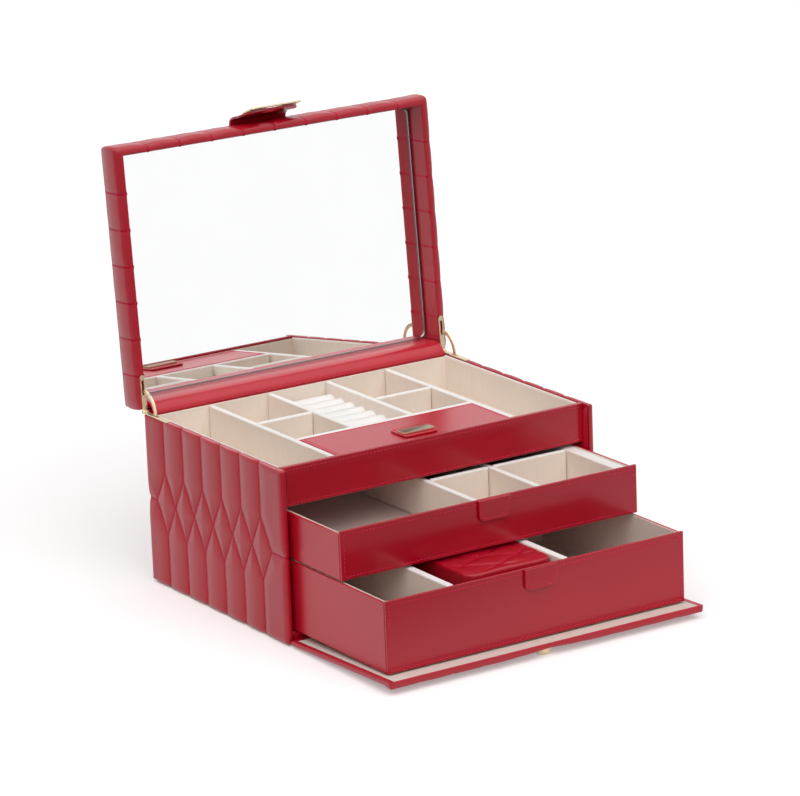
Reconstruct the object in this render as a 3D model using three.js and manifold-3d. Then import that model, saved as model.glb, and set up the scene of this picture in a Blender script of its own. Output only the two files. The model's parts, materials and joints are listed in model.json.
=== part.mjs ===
// Leather jewelry box with a mirrored lid, a divided top tray, two drawers and a fold-down front flap.
// Millimetres, +Z up. The origin is the centre of the base pad's underside. The front faces -Y.
// It stands open: the lid is up, both drawers are pulled out and the flap lies in front.
import * as THREE from 'three';
import { mergeVertices } from 'three/addons/utils/BufferGeometryUtils.js';
import Module from 'manifold-3d';

const wasm = await Module();
wasm.setup();

// Case
const CASE_WIDTH = 320;
const CASE_DEPTH = 231;
const CASE_HEIGHT = 155.3;
const PANEL_THICK = 5.5;
const PAD_CROWN = 2;
const LID_SIDE_CROWN = 3.5;
const BASE_PAD_THICK = 1.5;
const BASE_PAD_INSET = 2;
const BASE_TOP = 12.4;
const BASE_BOARD_SETBACK = 1.4;
const FIT = 0.3;
const FRONT_RECESS = 8.2;
const BACK_PANEL = { setIn: 0.2, drop: 0.4 };
// Long enough to pass a cutting tool right through a thin piece, and through the whole box
const THROUGH = 20;
const BEYOND = 200;

// Quilting
const SIDE_CHANNELS = 7;
const WIDE_CHANNELS = 10;
const LID_SIDE_CHANNELS = 7;
const LOZENGE_REACH = 0.18;
const EDGE_ROLL = 0.55;

// Top tray
const TRAY_BOTTOM = 120.1;
const TRAY_FLOOR_THICK = 1.7;
const TRAY_FRONT_THICK = 4.5;
const LINING_THICK = 2;
const LINING_FLOOR_THICK = 1;
const TRAY_LINING_DROP = 2.5;
const DIVIDER_THICK = 5.2;
const LONG_DIVIDER_X = { left: -96, right: 88.6 };
const RING_DIVIDER_X = { left: -35.5, right: 25.5 };
const CROSS_DIVIDER_Y = -33;
const SMALL_DIVIDER_Y = 31.5;
const RING_ROLLS = 8;
const RING_ROLL_HEIGHT = 21;
const RING_ROLL_DIP = 5;

// Covered compartment
const COVER_THICK = 2.2;
const COVER_OPEN_GAP = 1;
const COVER_TAB_WIDTH = 34;
const COVER_TAB_DEPTH = 26;
const COVER_TAB_THICK = 1.6;
const COVER_TAB_FRONT_GAP = 7;
const COVER_PLATE_WIDTH = 32;
const COVER_PLATE_DEPTH = 11;
const COVER_PLATE_SETBACK = 3;
const COVER_PLATE_THICK = 1.4;

// Drawers
const UPPER_DRAWER = {
  name: 'upper_drawer', width: 301, bottom: 76.3, top: 119.6, pull: 84.4,
  dividers: [-9, 56], dividerThick: DIVIDER_THICK, lip: 3,
};
const LOWER_DRAWER = {
  name: 'lower_drawer', width: 301, bottom: 12.8, top: 75.8, pull: 150.7,
  dividers: [-82, 33], dividerThick: 7, lip: 1.5,
};
const DRAWER_DEPTH = 212;
const DRAWER_FRONT_THICK = 2.6;
const DRAWER_WALL = 2.4;
const DRAWER_FLOOR = 2.2;
const DRAWER_LINING = 1.3;
const UPPER_CROSS_Y = -22;
const UPPER_SIDE_WALL_THICK = 11;
const SHELF_THICK = 1.4;
const PULL_TAB = { width: 33, drop: 19, thick: 1.6, round: 5.5, below: 0.4 };
const TRAVEL_CASE = { left: -57.5, width: 86, front: 12, depth: 88, height: 56, round: 7 };
const TRAVEL_CASE_TOP = { drawnIn: 0.94, crownAt: 0.75 };

// Front flap
const FLAP_WIDTH = 317.6;
const FLAP_LENGTH = 156.4;
const FLAP_THICK = 3.3;
const FLAP_CROWN = 1.6;
const FLAP_BORDER = 4.6;
const FLAP_INSET_DEPTH = 1.2;
const FLAP_LINING_THICK = 0.8;
const FLAP_AXIS_Y = -116.6;
const FLAP_AXIS_Z = 3.2;
const FLAP_SLOPE = 2.05;
const FLAP_START = -1.2;
const KNOB_DISTANCE = 147;
const KNOB_RADIUS = 6.6;
const KNOB_HEIGHT = 5.45;
const KNOB_RIBS = 9;
const KNOB_OVAL = { wide: 1.1, deep: 0.8, ribHeight: 0.06, narrowEnd: 0.66 };
const KNOB_SHAFT_RADIUS = 1;
const KNOB_HOLE_RADIUS = 2.8;
const COLLAR = { bore: 1.4, barrel: 2.5, flange: 7.5, thick: 0.6 };

// Lid
const LID_HEIGHT = 30;
const LID_GAP = 0.6;
const LID_OPEN = 94.6;
const LID_AXIS_Y = 117.4;
const LID_AXIS_Z = 155.6;
const LID_TOP_THICK = 2.6;
const LID_TOP_CROWN = 2;
const LID_TOP_INSET = 1;
const MIRROR_THICK = 1.6;
const MIRROR_RADIUS = 7;
const BEZEL_INSET = 2;
const BEZEL_WIDTH = 1.5;
const BEZEL_THICK = 1;

// Stay hinges
const LEAF = { length: 38, width: 4.6, thick: 1, inset: 0.2, centre: 157 };
const LEAF_START = 1.9;
const LEAF_SQUARE_END = 6;
const KNUCKLE_RADIUS = 1.5;
const KNUCKLE_LENGTH = 1.6;
const HINGE_PIN_RADIUS = 0.7;
const HINGE_PIN_LENGTH = 5;
const STAY_RADIUS = 18.4;
const STAY_WIDTH = 3.4;
const STAY_THICK = 1.2;
const STAY_ROOM = 0.5;
const STAY_PIVOT_Z = 151.8;
const STAY_END = 91;
const STAY_BOSS_RADIUS = 1.9;
const STAY_POCKET = 3.4;
// Slots for the stay: half length in the base leaf, and where the lid leaf's slot starts and ends
const BASE_SLOT_HALF = 4.2;
const LID_SLOT_FROM_AXIS = [28, 15];
// The room for the stay in the lid wall, as [y, height above the rim]
const STAY_ROOM_OUTLINE = [
  [89, -1], [103, -1], [103, 3.1], [112, 14.1], [112, 26.1], [96, 26.1], [89, 4.1],
];

// Clasp
const STRAP_WIDTH = 58;
const STRAP_THICK = 1.8;
const CLASP_PLATE = { width: 52, height: 20, thick: 1.2, round: 3 };
const CLASP_SLOT = { width: 17, height: 12, round: 4 };
const CLASP_PLATE_OVERLAP = 3;
const CLASP_PLATE_GAP = 0.6;
// The strap's centre line, as [distance forward of the lid's front edge, drop below its top]
const STRAP_CURL = [
  [-38, 0], [-8, 0], [2, 0.6], [6, 3.5], [8, 9], [9.4, 17], [12.2, 26], [15, 35],
];

// Leather over the hinge lines, as centre lines in (y, z)
const HINGE_STRIP_INSET = 1.5;
const LID_STRIP_THICK = 0.9;
const LID_STRIP_LINE = [
  [116.3, 130], [116.3, 151], [116.9, 153.6], [118.6, 155.2], [121, 155.6], [146, 153.6],
];
const FLAP_STRIP_THICK = 0.7;
const FLAP_STRIP_LINE = [[-114.7, 11], [-114.7, 4], [-115.1, 2.9], [-116.1, 2.5], [-117.2, 2.9]];

const HALF_WIDTH = CASE_WIDTH / 2;
const HALF_DEPTH = CASE_DEPTH / 2;
const INNER_X = HALF_WIDTH - PANEL_THICK;
const FRONT_FACE_Y = -HALF_DEPTH + FRONT_RECESS;
const CASE_FOOT = BASE_PAD_THICK + FIT;
const TRAY_FLOOR_TOP = TRAY_BOTTOM;
const LINING_FLOOR_TOP = TRAY_FLOOR_TOP + FIT + LINING_FLOOR_THICK;
const LINING_TOP = CASE_HEIGHT - TRAY_LINING_DROP;
const BACK_INNER_Y = HALF_DEPTH - PANEL_THICK;
const TRAY_FRONT_INNER_Y = FRONT_FACE_Y + TRAY_FRONT_THICK;
const LINING_BOX = {
  x: INNER_X - FIT,
  front: TRAY_FRONT_INNER_Y + FIT,
  back: BACK_INNER_Y - FIT,
};
const LID_RIM_Z = CASE_HEIGHT + LID_GAP;
const LID_TOP_Z = LID_RIM_Z + LID_HEIGHT;
const MIRROR_BACK_Z = LID_TOP_Z - LID_TOP_CROWN - LID_TOP_THICK - FIT;
const rad = THREE.MathUtils.degToRad;

const box_object = new THREE.Group();
box_object.name = 'jewelry_box';

// Materials
function finish(color, roughness, metalness = 0) {
  return new THREE.MeshStandardMaterial({ color, roughness, metalness });
}
const RED_LEATHER = () => finish(0xa01c28, 0.42);
const BRIGHT_LEATHER = () => finish(0xb02030, 0.4);
const LINING = () => finish(0xdac8b8, 0.95);
const PALE_CARD = () => finish(0xeeebe5, 0.9);
const RING_CLOTH = () => finish(0xefe6da, 0.95);
const GOLD = () => finish(0xd8bd84, 0.25, 1);
const SILVER = () => finish(0xc8cacc, 0.2, 1);
const MIRROR_GLASS = () => finish(0xf2f4f5, 0.03, 1);

// Solids
function closed(geometry) {
  const bare = geometry.clone();
  bare.deleteAttribute('normal');
  bare.deleteAttribute('uv');
  return mergeVertices(bare, 1e-4);
}

function toSolid(geometry) {
  const merged = closed(geometry);
  return new wasm.Manifold(new wasm.Mesh({
    numProp: 3,
    vertProperties: new Float32Array(merged.attributes.position.array),
    triVerts: new Uint32Array(merged.index.array),
  }));
}

function toGeometry(solid) {
  const mesh = solid.getMesh();
  const geometry = new THREE.BufferGeometry();
  geometry.setAttribute('position', new THREE.BufferAttribute(mesh.vertProperties, 3));
  geometry.setIndex(new THREE.BufferAttribute(mesh.triVerts, 1));
  geometry.computeVertexNormals();
  return geometry;
}

function cut(geometry, ...tools) {
  return toGeometry(tools.reduce((left, tool) => left.subtract(toSolid(tool)), toSolid(geometry)));
}

function join(geometry, ...others) {
  return toGeometry(others.reduce((sum, other) => sum.add(toSolid(other)), toSolid(geometry)));
}

function block(x, y, z) {
  const geometry = new THREE.BoxGeometry(x[1] - x[0], y[1] - y[0], z[1] - z[0]);
  return geometry.translate((x[0] + x[1]) / 2, (y[0] + y[1]) / 2, (z[0] + z[1]) / 2);
}

function add(name, geometry, material, parent = box_object) {
  const mesh = new THREE.Mesh(closed(geometry), material);
  mesh.name = name;
  parent.add(mesh);
  return mesh;
}

// A flat plate with round corners, its underside at z = 0.
function roundedPlate(width, height, thick, round, steps = 4) {
  const outline = new THREE.Shape();
  const x = width / 2;
  const y = height / 2;
  outline.moveTo(-x + round, -y);
  outline.lineTo(x - round, -y);
  outline.absarc(x - round, -y + round, round, -Math.PI / 2, 0);
  outline.lineTo(x, y - round);
  outline.absarc(x - round, y - round, round, 0, Math.PI / 2);
  outline.lineTo(-x + round, y);
  outline.absarc(-x + round, y - round, round, Math.PI / 2, Math.PI);
  outline.lineTo(-x, -y + round);
  outline.absarc(-x + round, -y + round, round, Math.PI, Math.PI * 1.5);
  return new THREE.ExtrudeGeometry(outline, { depth: thick, bevelEnabled: false, curveSegments: steps });
}

// A section drawn in the (y, z) plane, extruded along X and centred on x = 0.
function alongX(points, length) {
  const outline = new THREE.Shape(points.map(([y, z]) => new THREE.Vector2(y, z)));
  const geometry = new THREE.ExtrudeGeometry(outline, { depth: length, bevelEnabled: false });
  geometry.applyMatrix4(new THREE.Matrix4().makeBasis(
    new THREE.Vector3(0, 1, 0), new THREE.Vector3(0, 0, 1), new THREE.Vector3(1, 0, 0)));
  return geometry.translate(-length / 2, 0, 0);
}

// The outline of a sheet of even thickness that follows a curve in the (y, z) plane.
function sheetOutline(centre, thick) {
  const left = [];
  const right = [];
  centre.forEach(([y, z], i) => {
    const before = centre[Math.max(i - 1, 0)];
    const after = centre[Math.min(i + 1, centre.length - 1)];
    const along = new THREE.Vector2(after[0] - before[0], after[1] - before[1]).normalize();
    left.push([y - along.y * thick / 2, z + along.x * thick / 2]);
    right.push([y + along.y * thick / 2, z - along.x * thick / 2]);
  });
  return [...right, ...left.reverse()];
}

// Padding height, 0 on a seam and 1 on a crest. Seams run up the panel and open into
// a row of lozenges at mid height. across counts channels, up runs from 0 to 1.
function quiltRelief(across, up, channels, lozenges) {
  const fromSeam = Math.abs(across - Math.round(across)) * 2;
  const onEdge = across < 0.5 || across > channels - 0.5;
  const reach = Math.abs(up - 0.5) / LOZENGE_REACH;
  let distance = fromSeam;
  if (lozenges && reach < 1) {
    const half = onEdge && fromSeam < 1 - reach ? 0 : 1 - reach;
    distance = onEdge ? fromSeam : Math.abs(fromSeam - half);
  }
  const rise = Math.sqrt(1 - (1 - Math.min(distance, 1)) ** 2);
  const rolled = up === 0 || up === 1 ? EDGE_ROLL : 1;
  return rise * rolled;
}

// A board with one padded face: local X runs across the channels, Y along them, +Z is padded.
function quiltedBoard({ width, length, thick, crown, channels, lozenges = true }) {
  const perChannel = 4;
  const levels = lozenges
    ? [0, 0.03, 0.5 - LOZENGE_REACH, 0.5 - LOZENGE_REACH / 2, 0.5]
    : [0, 0.1, 0.5];
  const rows = [...levels, ...levels.slice(0, -1).reverse().map((up) => 1 - up)];
  const columns = channels * perChannel;
  const geometry = new THREE.BoxGeometry(width, length, thick, columns, rows.length - 1, 1);
  const place = geometry.attributes.position;
  for (let i = 0; i < place.count; i += 1) {
    const column = Math.round((place.getX(i) / width + 0.5) * columns);
    const row = Math.round((place.getY(i) / length + 0.5) * (rows.length - 1));
    const up = rows[row];
    place.setY(i, (up - 0.5) * length);
    if (place.getZ(i) > 0) {
      const relief = quiltRelief(column / perChannel, up, channels, lozenges);
      place.setZ(i, thick / 2 + crown * relief);
    }
  }
  foldAlongSeams(geometry);
  return geometry.translate(0, 0, thick / 2);
}

// Turns each padded square's diagonal so that it runs along the valley of a seam.
function foldAlongSeams(geometry) {
  const height = (i) => geometry.attributes.position.getZ(i);
  const index = geometry.index;
  for (let i = 0; i < index.count; i += 6) {
    const [a, b, d, c] = [index.getX(i), index.getX(i + 1), index.getX(i + 2), index.getX(i + 4)];
    const padded = Math.min(height(a), height(b), height(c), height(d)) > 0;
    if (padded && height(a) + height(c) < height(b) + height(d)) {
      [a, b, c, a, c, d].forEach((corner, n) => index.setX(i + n, corner));
    }
  }
}

function orient(geometry, across, along, out, origin) {
  const basis = new THREE.Matrix4().makeBasis(across, along, out);
  basis.setPosition(...origin);
  return geometry.applyMatrix4(basis);
}
const TOWARD = {
  right: new THREE.Vector3(1, 0, 0),
  left: new THREE.Vector3(-1, 0, 0),
  back: new THREE.Vector3(0, 1, 0),
  front: new THREE.Vector3(0, -1, 0),
  up: new THREE.Vector3(0, 0, 1),
  down: new THREE.Vector3(0, 0, -1),
};

// Recesses that the hinge leaves and the stays need in a wall of the given height range
function leafRecess(side, z) {
  const x = side * LEAF.centre;
  const half = LEAF.width / 2 + FIT;
  const front = HALF_DEPTH - LEAF_START - LEAF.length - FIT;
  return block([x - half, x + half], [front, HALF_DEPTH + 1], z);
}

// Case
function sidePanel(side) {
  const height = CASE_HEIGHT - CASE_FOOT;
  const thick = PANEL_THICK - PAD_CROWN;
  const board = quiltedBoard({
    width: CASE_DEPTH, length: height, thick, crown: PAD_CROWN, channels: SIDE_CHANNELS,
  });
  const across = side > 0 ? TOWARD.back : TOWARD.front;
  const out = side > 0 ? TOWARD.right : TOWARD.left;
  const panel = orient(board, across, TOWARD.up, out, [side * INNER_X, 0, CASE_FOOT + height / 2]);
  const stayPocket = block(
    [side * LEAF.centre - STAY_THICK / 2 - STAY_ROOM, side * LEAF.centre + STAY_THICK / 2 + STAY_ROOM],
    [LID_AXIS_Y - STAY_RADIUS - STAY_POCKET, LID_AXIS_Y - STAY_RADIUS + STAY_POCKET],
    [STAY_PIVOT_Z - STAY_POCKET, CASE_HEIGHT + 1],
  );
  const leaf = leafRecess(side, [CASE_HEIGHT - LEAF.thick - FIT + LEAF.inset, CASE_HEIGHT + 1]);
  return cut(panel, leaf, stayPocket);
}

function buildCase() {
  add('base_pad', roundedPlate(CASE_WIDTH - 2 * BASE_PAD_INSET, CASE_DEPTH - 2 * BASE_PAD_INSET,
    BASE_PAD_THICK, 3), LINING());
  const boardX = INNER_X - FIT;
  add('base_board', block([-boardX, boardX], [-HALF_DEPTH + BASE_BOARD_SETBACK, BACK_INNER_Y - FIT],
    [CASE_FOOT, BASE_TOP]), RED_LEATHER());
  add('side_panel_left', sidePanel(-1), RED_LEATHER());
  add('side_panel_right', sidePanel(1), RED_LEATHER());
  add('back_panel', block([-boardX, boardX], [BACK_INNER_Y, HALF_DEPTH - BACK_PANEL.setIn],
    [CASE_FOOT, CASE_HEIGHT - BACK_PANEL.drop]), RED_LEATHER());
  const shelfTop = UPPER_DRAWER.bottom - FIT;
  add('drawer_shelf', block([-boardX, boardX],
    [FRONT_FACE_Y + DRAWER_FRONT_THICK + 2 * FIT, BACK_INNER_Y - FIT],
    [shelfTop - SHELF_THICK, shelfTop]), RED_LEATHER());
  add('tray_floor', block([-boardX, boardX], [TRAY_FRONT_INNER_Y + FIT, BACK_INNER_Y - FIT],
    [TRAY_FLOOR_TOP - TRAY_FLOOR_THICK, TRAY_FLOOR_TOP]), RED_LEATHER());
  add('tray_front_wall', block([-boardX, boardX], [FRONT_FACE_Y, TRAY_FRONT_INNER_Y],
    [TRAY_BOTTOM, CASE_HEIGHT]), RED_LEATHER());
}

// Top tray: a lining box, its dividers, the ring roll pad and the covered compartment.
function trayLining() {
  const { x, front, back } = LINING_BOX;
  const floor = TRAY_FLOOR_TOP + FIT;
  const outer = block([-x, x], [front, back], [floor, LINING_TOP]);
  const inside = block([-x + LINING_THICK, x - LINING_THICK],
    [front + LINING_THICK, back - LINING_THICK], [LINING_FLOOR_TOP, LINING_TOP + 1]);
  return cut(outer, inside);
}

function buildTray() {
  add('tray_lining', trayLining(), LINING());
  const x = LINING_BOX.x - LINING_THICK - FIT;
  const front = LINING_BOX.front + LINING_THICK + FIT;
  const back = LINING_BOX.back - LINING_THICK - FIT;
  const z = [LINING_FLOOR_TOP + FIT, LINING_TOP];
  const half = DIVIDER_THICK / 2;
  for (const [side, name] of [[-1, 'left'], [1, 'right']]) {
    const longX = LONG_DIVIDER_X[name];
    const ringX = RING_DIVIDER_X[name];
    add(`tray_divider_${name}`, block([longX - half, longX + half], [front, back], z), PALE_CARD());
    add(`ring_divider_${name}`, block([ringX - half, ringX + half],
      [CROSS_DIVIDER_Y + half + FIT, back], z), PALE_CARD());
    const ends = [longX - side * (half + FIT), ringX + side * (half + FIT)].sort((a, b) => a - b);
    add(`small_divider_${name}`, block(ends, [SMALL_DIVIDER_Y - half, SMALL_DIVIDER_Y + half], z),
      PALE_CARD());
  }
  const between = [LONG_DIVIDER_X.left + half + FIT, LONG_DIVIDER_X.right - half - FIT];
  add('compartment_back_wall', block(between,
    [CROSS_DIVIDER_Y - half, CROSS_DIVIDER_Y + half], z), PALE_CARD());
  add('ring_roll_pad', ringRollPad(back), RING_CLOTH());
  buildCover(front, between);
}

// Soft rolls side by side on one backing, with a slit for rings between each two.
function ringRollPad(back) {
  const start = CROSS_DIVIDER_Y + DIVIDER_THICK / 2 + 2 * FIT;
  const pitch = (back - FIT - start) / RING_ROLLS;
  const floor = LINING_FLOOR_TOP + FIT;
  const top = floor + RING_ROLL_HEIGHT;
  const stepsPerRoll = 6;
  const outline = [[start, floor], [back - FIT, floor]];
  for (let roll = RING_ROLLS - 1; roll >= 0; roll -= 1) {
    for (let step = stepsPerRoll; step >= 0; step -= 1) {
      if (step === stepsPerRoll && roll < RING_ROLLS - 1) continue;
      const share = step / stepsPerRoll;
      const rise = Math.sqrt(Math.max(1 - (2 * share - 1) ** 2, 0));
      outline.push([start + pitch * (roll + share), top - RING_ROLL_DIP * (1 - rise)]);
    }
  }
  const { left, right } = RING_DIVIDER_X;
  return alongX(outline, right - left - DIVIDER_THICK - 2 * FIT).translate((left + right) / 2, 0, 0);
}

function buildCover(front, [left, right]) {
  const back = CROSS_DIVIDER_Y - DIVIDER_THICK / 2 - COVER_OPEN_GAP;
  const top = LINING_TOP;
  const middleX = (left + right) / 2;
  const tabBack = front + COVER_TAB_FRONT_GAP + COVER_TAB_DEPTH;
  add('compartment_cover', block([left + FIT, right - FIT], [front + FIT, back],
    [top - COVER_THICK, top]), BRIGHT_LEATHER());
  const tab = roundedPlate(COVER_TAB_WIDTH, COVER_TAB_DEPTH, COVER_TAB_THICK, 3);
  const tabY = tabBack - COVER_TAB_DEPTH / 2;
  add('cover_tab', tab.translate(middleX, tabY, top + FIT), BRIGHT_LEATHER());
  const plate = roundedPlate(COVER_PLATE_WIDTH, COVER_PLATE_DEPTH, COVER_PLATE_THICK, 1);
  const plateZ = top + 2 * FIT + COVER_TAB_THICK;
  add('cover_plate', plate.translate(middleX, tabY - COVER_PLATE_SETBACK, plateZ), GOLD());
}

// Drawers, built shut and then pulled forward
function drawerBox(drawer) {
  const x = drawer.width / 2;
  const front = FRONT_FACE_Y + DRAWER_FRONT_THICK + FIT;
  const back = FRONT_FACE_Y + DRAWER_DEPTH;
  const top = drawer.top - drawer.lip;
  const outer = block([-x, x], [front, back], [drawer.bottom, top]);
  const inside = block([-x + DRAWER_WALL, x - DRAWER_WALL],
    [front + DRAWER_WALL, back - DRAWER_WALL], [drawer.bottom + DRAWER_FLOOR, top + 1]);
  return cut(outer, inside);
}

function drawerRoom(drawer) {
  const inset = DRAWER_WALL + FIT;
  return {
    x: drawer.width / 2 - inset,
    front: FRONT_FACE_Y + DRAWER_FRONT_THICK + FIT + inset,
    back: FRONT_FACE_Y + DRAWER_DEPTH - inset,
    floor: drawer.bottom + DRAWER_FLOOR + FIT,
    top: drawer.top - drawer.lip,
  };
}

function drawerLining(room) {
  const outer = block([-room.x, room.x], [room.front, room.back], [room.floor, room.top]);
  const inside = block([-room.x + DRAWER_LINING, room.x - DRAWER_LINING],
    [room.front + DRAWER_LINING, room.back - DRAWER_LINING],
    [room.floor + DRAWER_LINING, room.top + 1]);
  return cut(outer, inside);
}

// A leather tab that folds over the top edge of the drawer front, with round lower corners.
function pullTab(drawer) {
  const half = PULL_TAB.width / 2;
  const outline = new THREE.Shape();
  const low = -PULL_TAB.drop;
  outline.moveTo(-half, 0);
  outline.lineTo(-half, low + PULL_TAB.round);
  outline.absarc(-half + PULL_TAB.round, low + PULL_TAB.round, PULL_TAB.round, Math.PI, Math.PI * 1.5);
  outline.lineTo(half - PULL_TAB.round, low);
  outline.absarc(half - PULL_TAB.round, low + PULL_TAB.round, PULL_TAB.round, -Math.PI / 2, 0);
  outline.lineTo(half, 0);
  const leather = new THREE.ExtrudeGeometry(outline, {
    depth: PULL_TAB.thick, bevelEnabled: false, curveSegments: 4,
  });
  return orient(leather, TOWARD.right, TOWARD.up, TOWARD.front,
    [0, FRONT_FACE_Y - FIT, drawer.top - PULL_TAB.below]);
}

function buildDrawer(drawer) {
  const group = new THREE.Group();
  group.position.y = -drawer.pull;
  box_object.add(group);
  const x = drawer.width / 2;
  const room = drawerRoom(drawer);
  add(`${drawer.name}_front`, block([-x, x], [FRONT_FACE_Y, FRONT_FACE_Y + DRAWER_FRONT_THICK],
    [drawer.bottom, drawer.top]), RED_LEATHER(), group);
  add(`${drawer.name}_box`, drawerBox(drawer), BRIGHT_LEATHER(), group);
  add(`${drawer.name}_lining`, drawerLining(room), LINING(), group);
  add(`${drawer.name}_pull_tab`, pullTab(drawer), RED_LEATHER(), group);
  const inset = DRAWER_LINING + FIT;
  const z = [room.floor + inset, room.top];
  const half = drawer.dividerThick / 2;
  drawer.dividers.forEach((at, i) => {
    add(`${drawer.name}_divider_${i + 1}`, block([at - half, at + half],
      [room.front + inset, room.back - inset], z), PALE_CARD(), group);
  });
  return { group, room, z };
}

// A thick padded wall along the right side of the upper drawer, and short walls that split
// its middle and right compartments in two.
function buildUpperWalls({ group, room, z }) {
  const half = DIVIDER_THICK / 2;
  const [first, second] = UPPER_DRAWER.dividers;
  const inset = DRAWER_LINING + FIT;
  const wallX = room.x - inset - UPPER_SIDE_WALL_THICK;
  add('upper_drawer_side_wall', block([wallX, room.x - inset],
    [room.front + inset, room.back - inset], z), PALE_CARD(), group);
  const spans = [
    [first + half + FIT, second - half - FIT],
    [second + half + FIT, wallX - FIT],
  ];
  spans.forEach((span, i) => {
    add(`upper_drawer_cross_wall_${i + 1}`,
      block(span, [UPPER_CROSS_Y - half, UPPER_CROSS_Y + half], z), PALE_CARD(), group);
  });
}

// A padded travel case that stands in the lower drawer's middle compartment: two halves.
function buildTravelCase({ group, room, z }) {
  const { left, width, front, depth, height, round } = TRAVEL_CASE;
  const centreX = left + width / 2;
  const centreY = room.front + front + depth / 2;
  const half = (height - FIT) / 2;
  const lower = roundedPlate(width, depth, half, round);
  add('travel_case_base', lower.translate(centreX, centreY, z[0]), RED_LEATHER(), group);
  const upper = pillowPlate(width, depth, half, round);
  add('travel_case_lid', upper.translate(centreX, centreY, z[0] + half + FIT), RED_LEATHER(), group);
}

// A plate with round corners whose top is drawn in at the edge and crowned.
function pillowPlate(width, depth, height, round) {
  const { drawnIn, crownAt } = TRAVEL_CASE_TOP;
  const plate = roundedPlate(width, depth, height * crownAt, round);
  const cap = roundedPlate(width, depth, height * (1 - crownAt), round);
  const place = cap.attributes.position;
  for (let i = 0; i < place.count; i += 1) {
    if (place.getZ(i) > 0) {
      place.setX(i, place.getX(i) * drawnIn);
      place.setY(i, place.getY(i) * drawnIn);
    }
  }
  return join(plate, cap.translate(0, 0, height * crownAt));
}

// Front flap, built flat with its hinge line at the local origin, reaching toward -Y.
function buildFlap() {
  const group = new THREE.Group();
  group.position.set(0, FLAP_AXIS_Y, FLAP_AXIS_Z);
  group.rotation.x = -rad(FLAP_SLOPE);
  box_object.add(group);
  const start = FLAP_START;
  const end = start - FLAP_LENGTH;
  const middle = (start + end) / 2;
  const board = quiltedBoard({
    width: FLAP_WIDTH, length: FLAP_LENGTH, thick: FLAP_THICK, crown: FLAP_CROWN, channels: WIDE_CHANNELS,
  });
  const laid = orient(board, TOWARD.right, TOWARD.front, TOWARD.down, [0, middle, FLAP_THICK]);
  const insetX = FLAP_WIDTH / 2 - FLAP_BORDER;
  const inset = block([-insetX, insetX], [end + FLAP_BORDER, start - FLAP_BORDER],
    [FLAP_THICK - FLAP_INSET_DEPTH, FLAP_THICK + 1]);
  const knobY = -KNOB_DISTANCE;
  const shaftHole = new THREE.CylinderGeometry(KNOB_HOLE_RADIUS, KNOB_HOLE_RADIUS, THROUGH, 12)
    .rotateX(Math.PI / 2).translate(0, knobY, 0);
  add('flap_board', cut(laid, inset, shaftHole), RED_LEATHER(), group);
  const lining = block([-insetX + FIT, insetX - FIT], [end + FLAP_BORDER + FIT, start - FLAP_BORDER - FIT],
    [FLAP_THICK - FLAP_INSET_DEPTH + FIT, FLAP_THICK - FLAP_INSET_DEPTH + FIT + FLAP_LINING_THICK]);
  add('flap_lining', lining, LINING(), group);
  buildKnob(group, knobY);
}

// A ribbed turn knob below the flap. Its collar fills a hole in the board and carries its shaft.
function buildKnob(group, knobY) {
  const collarTop = FLAP_THICK - FLAP_INSET_DEPTH - FIT;
  const flange = -FLAP_CROWN - FIT;
  const low = flange - COLLAR.thick;
  const collar = latheZ([[COLLAR.bore, collarTop], [COLLAR.barrel, collarTop], [COLLAR.barrel, flange],
    [COLLAR.flange, flange], [COLLAR.flange, low], [COLLAR.bore, low]], 16);
  add('knob_collar', collar.translate(0, knobY, 0), GOLD(), group);
  const start = low - FIT;
  const ribbed = fluted(KNOB_RADIUS, KNOB_HEIGHT);
  const shaft = new THREE.CylinderGeometry(
    KNOB_SHAFT_RADIUS, KNOB_SHAFT_RADIUS, collarTop - start + 1, 10).rotateX(Math.PI / 2);
  const turned = join(ribbed.translate(0, 0, start - KNOB_HEIGHT),
    shaft.translate(0, 0, (collarTop + start - 1) / 2));
  add('turn_knob', turned.translate(0, knobY, 0), GOLD(), group);
}

// A closed profile of [radius, z] points turned about Z.
function latheZ(profile, segments) {
  const points = [...profile, profile[0]].map(([r, z]) => new THREE.Vector2(r, z)).reverse();
  return new THREE.LatheGeometry(points, segments).rotateX(Math.PI / 2);
}

// An oval boss with ribs that narrows toward its lower end, standing from z = 0 to height.
function fluted(radius, height) {
  const stepsPerRib = 4;
  const { wide, deep, ribHeight, narrowEnd } = KNOB_OVAL;
  const points = [];
  for (let i = 0; i < KNOB_RIBS * stepsPerRib; i += 1) {
    const turn = (2 * Math.PI * i) / (KNOB_RIBS * stepsPerRib);
    const r = radius * (1 + ribHeight * Math.cos(KNOB_RIBS * turn));
    points.push(new THREE.Vector2(r * wide * Math.cos(turn), r * deep * Math.sin(turn)));
  }
  const geometry = new THREE.ExtrudeGeometry(new THREE.Shape(points), {
    depth: height, steps: 3, bevelEnabled: false,
  });
  const place = geometry.attributes.position;
  for (let i = 0; i < place.count; i += 1) {
    const up = place.getZ(i) / height;
    const spread = narrowEnd + (1 - narrowEnd) * Math.sqrt(1 - (1 - up) ** 2);
    place.setX(i, place.getX(i) * spread);
    place.setY(i, place.getY(i) * spread);
  }
  return geometry;
}

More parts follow.
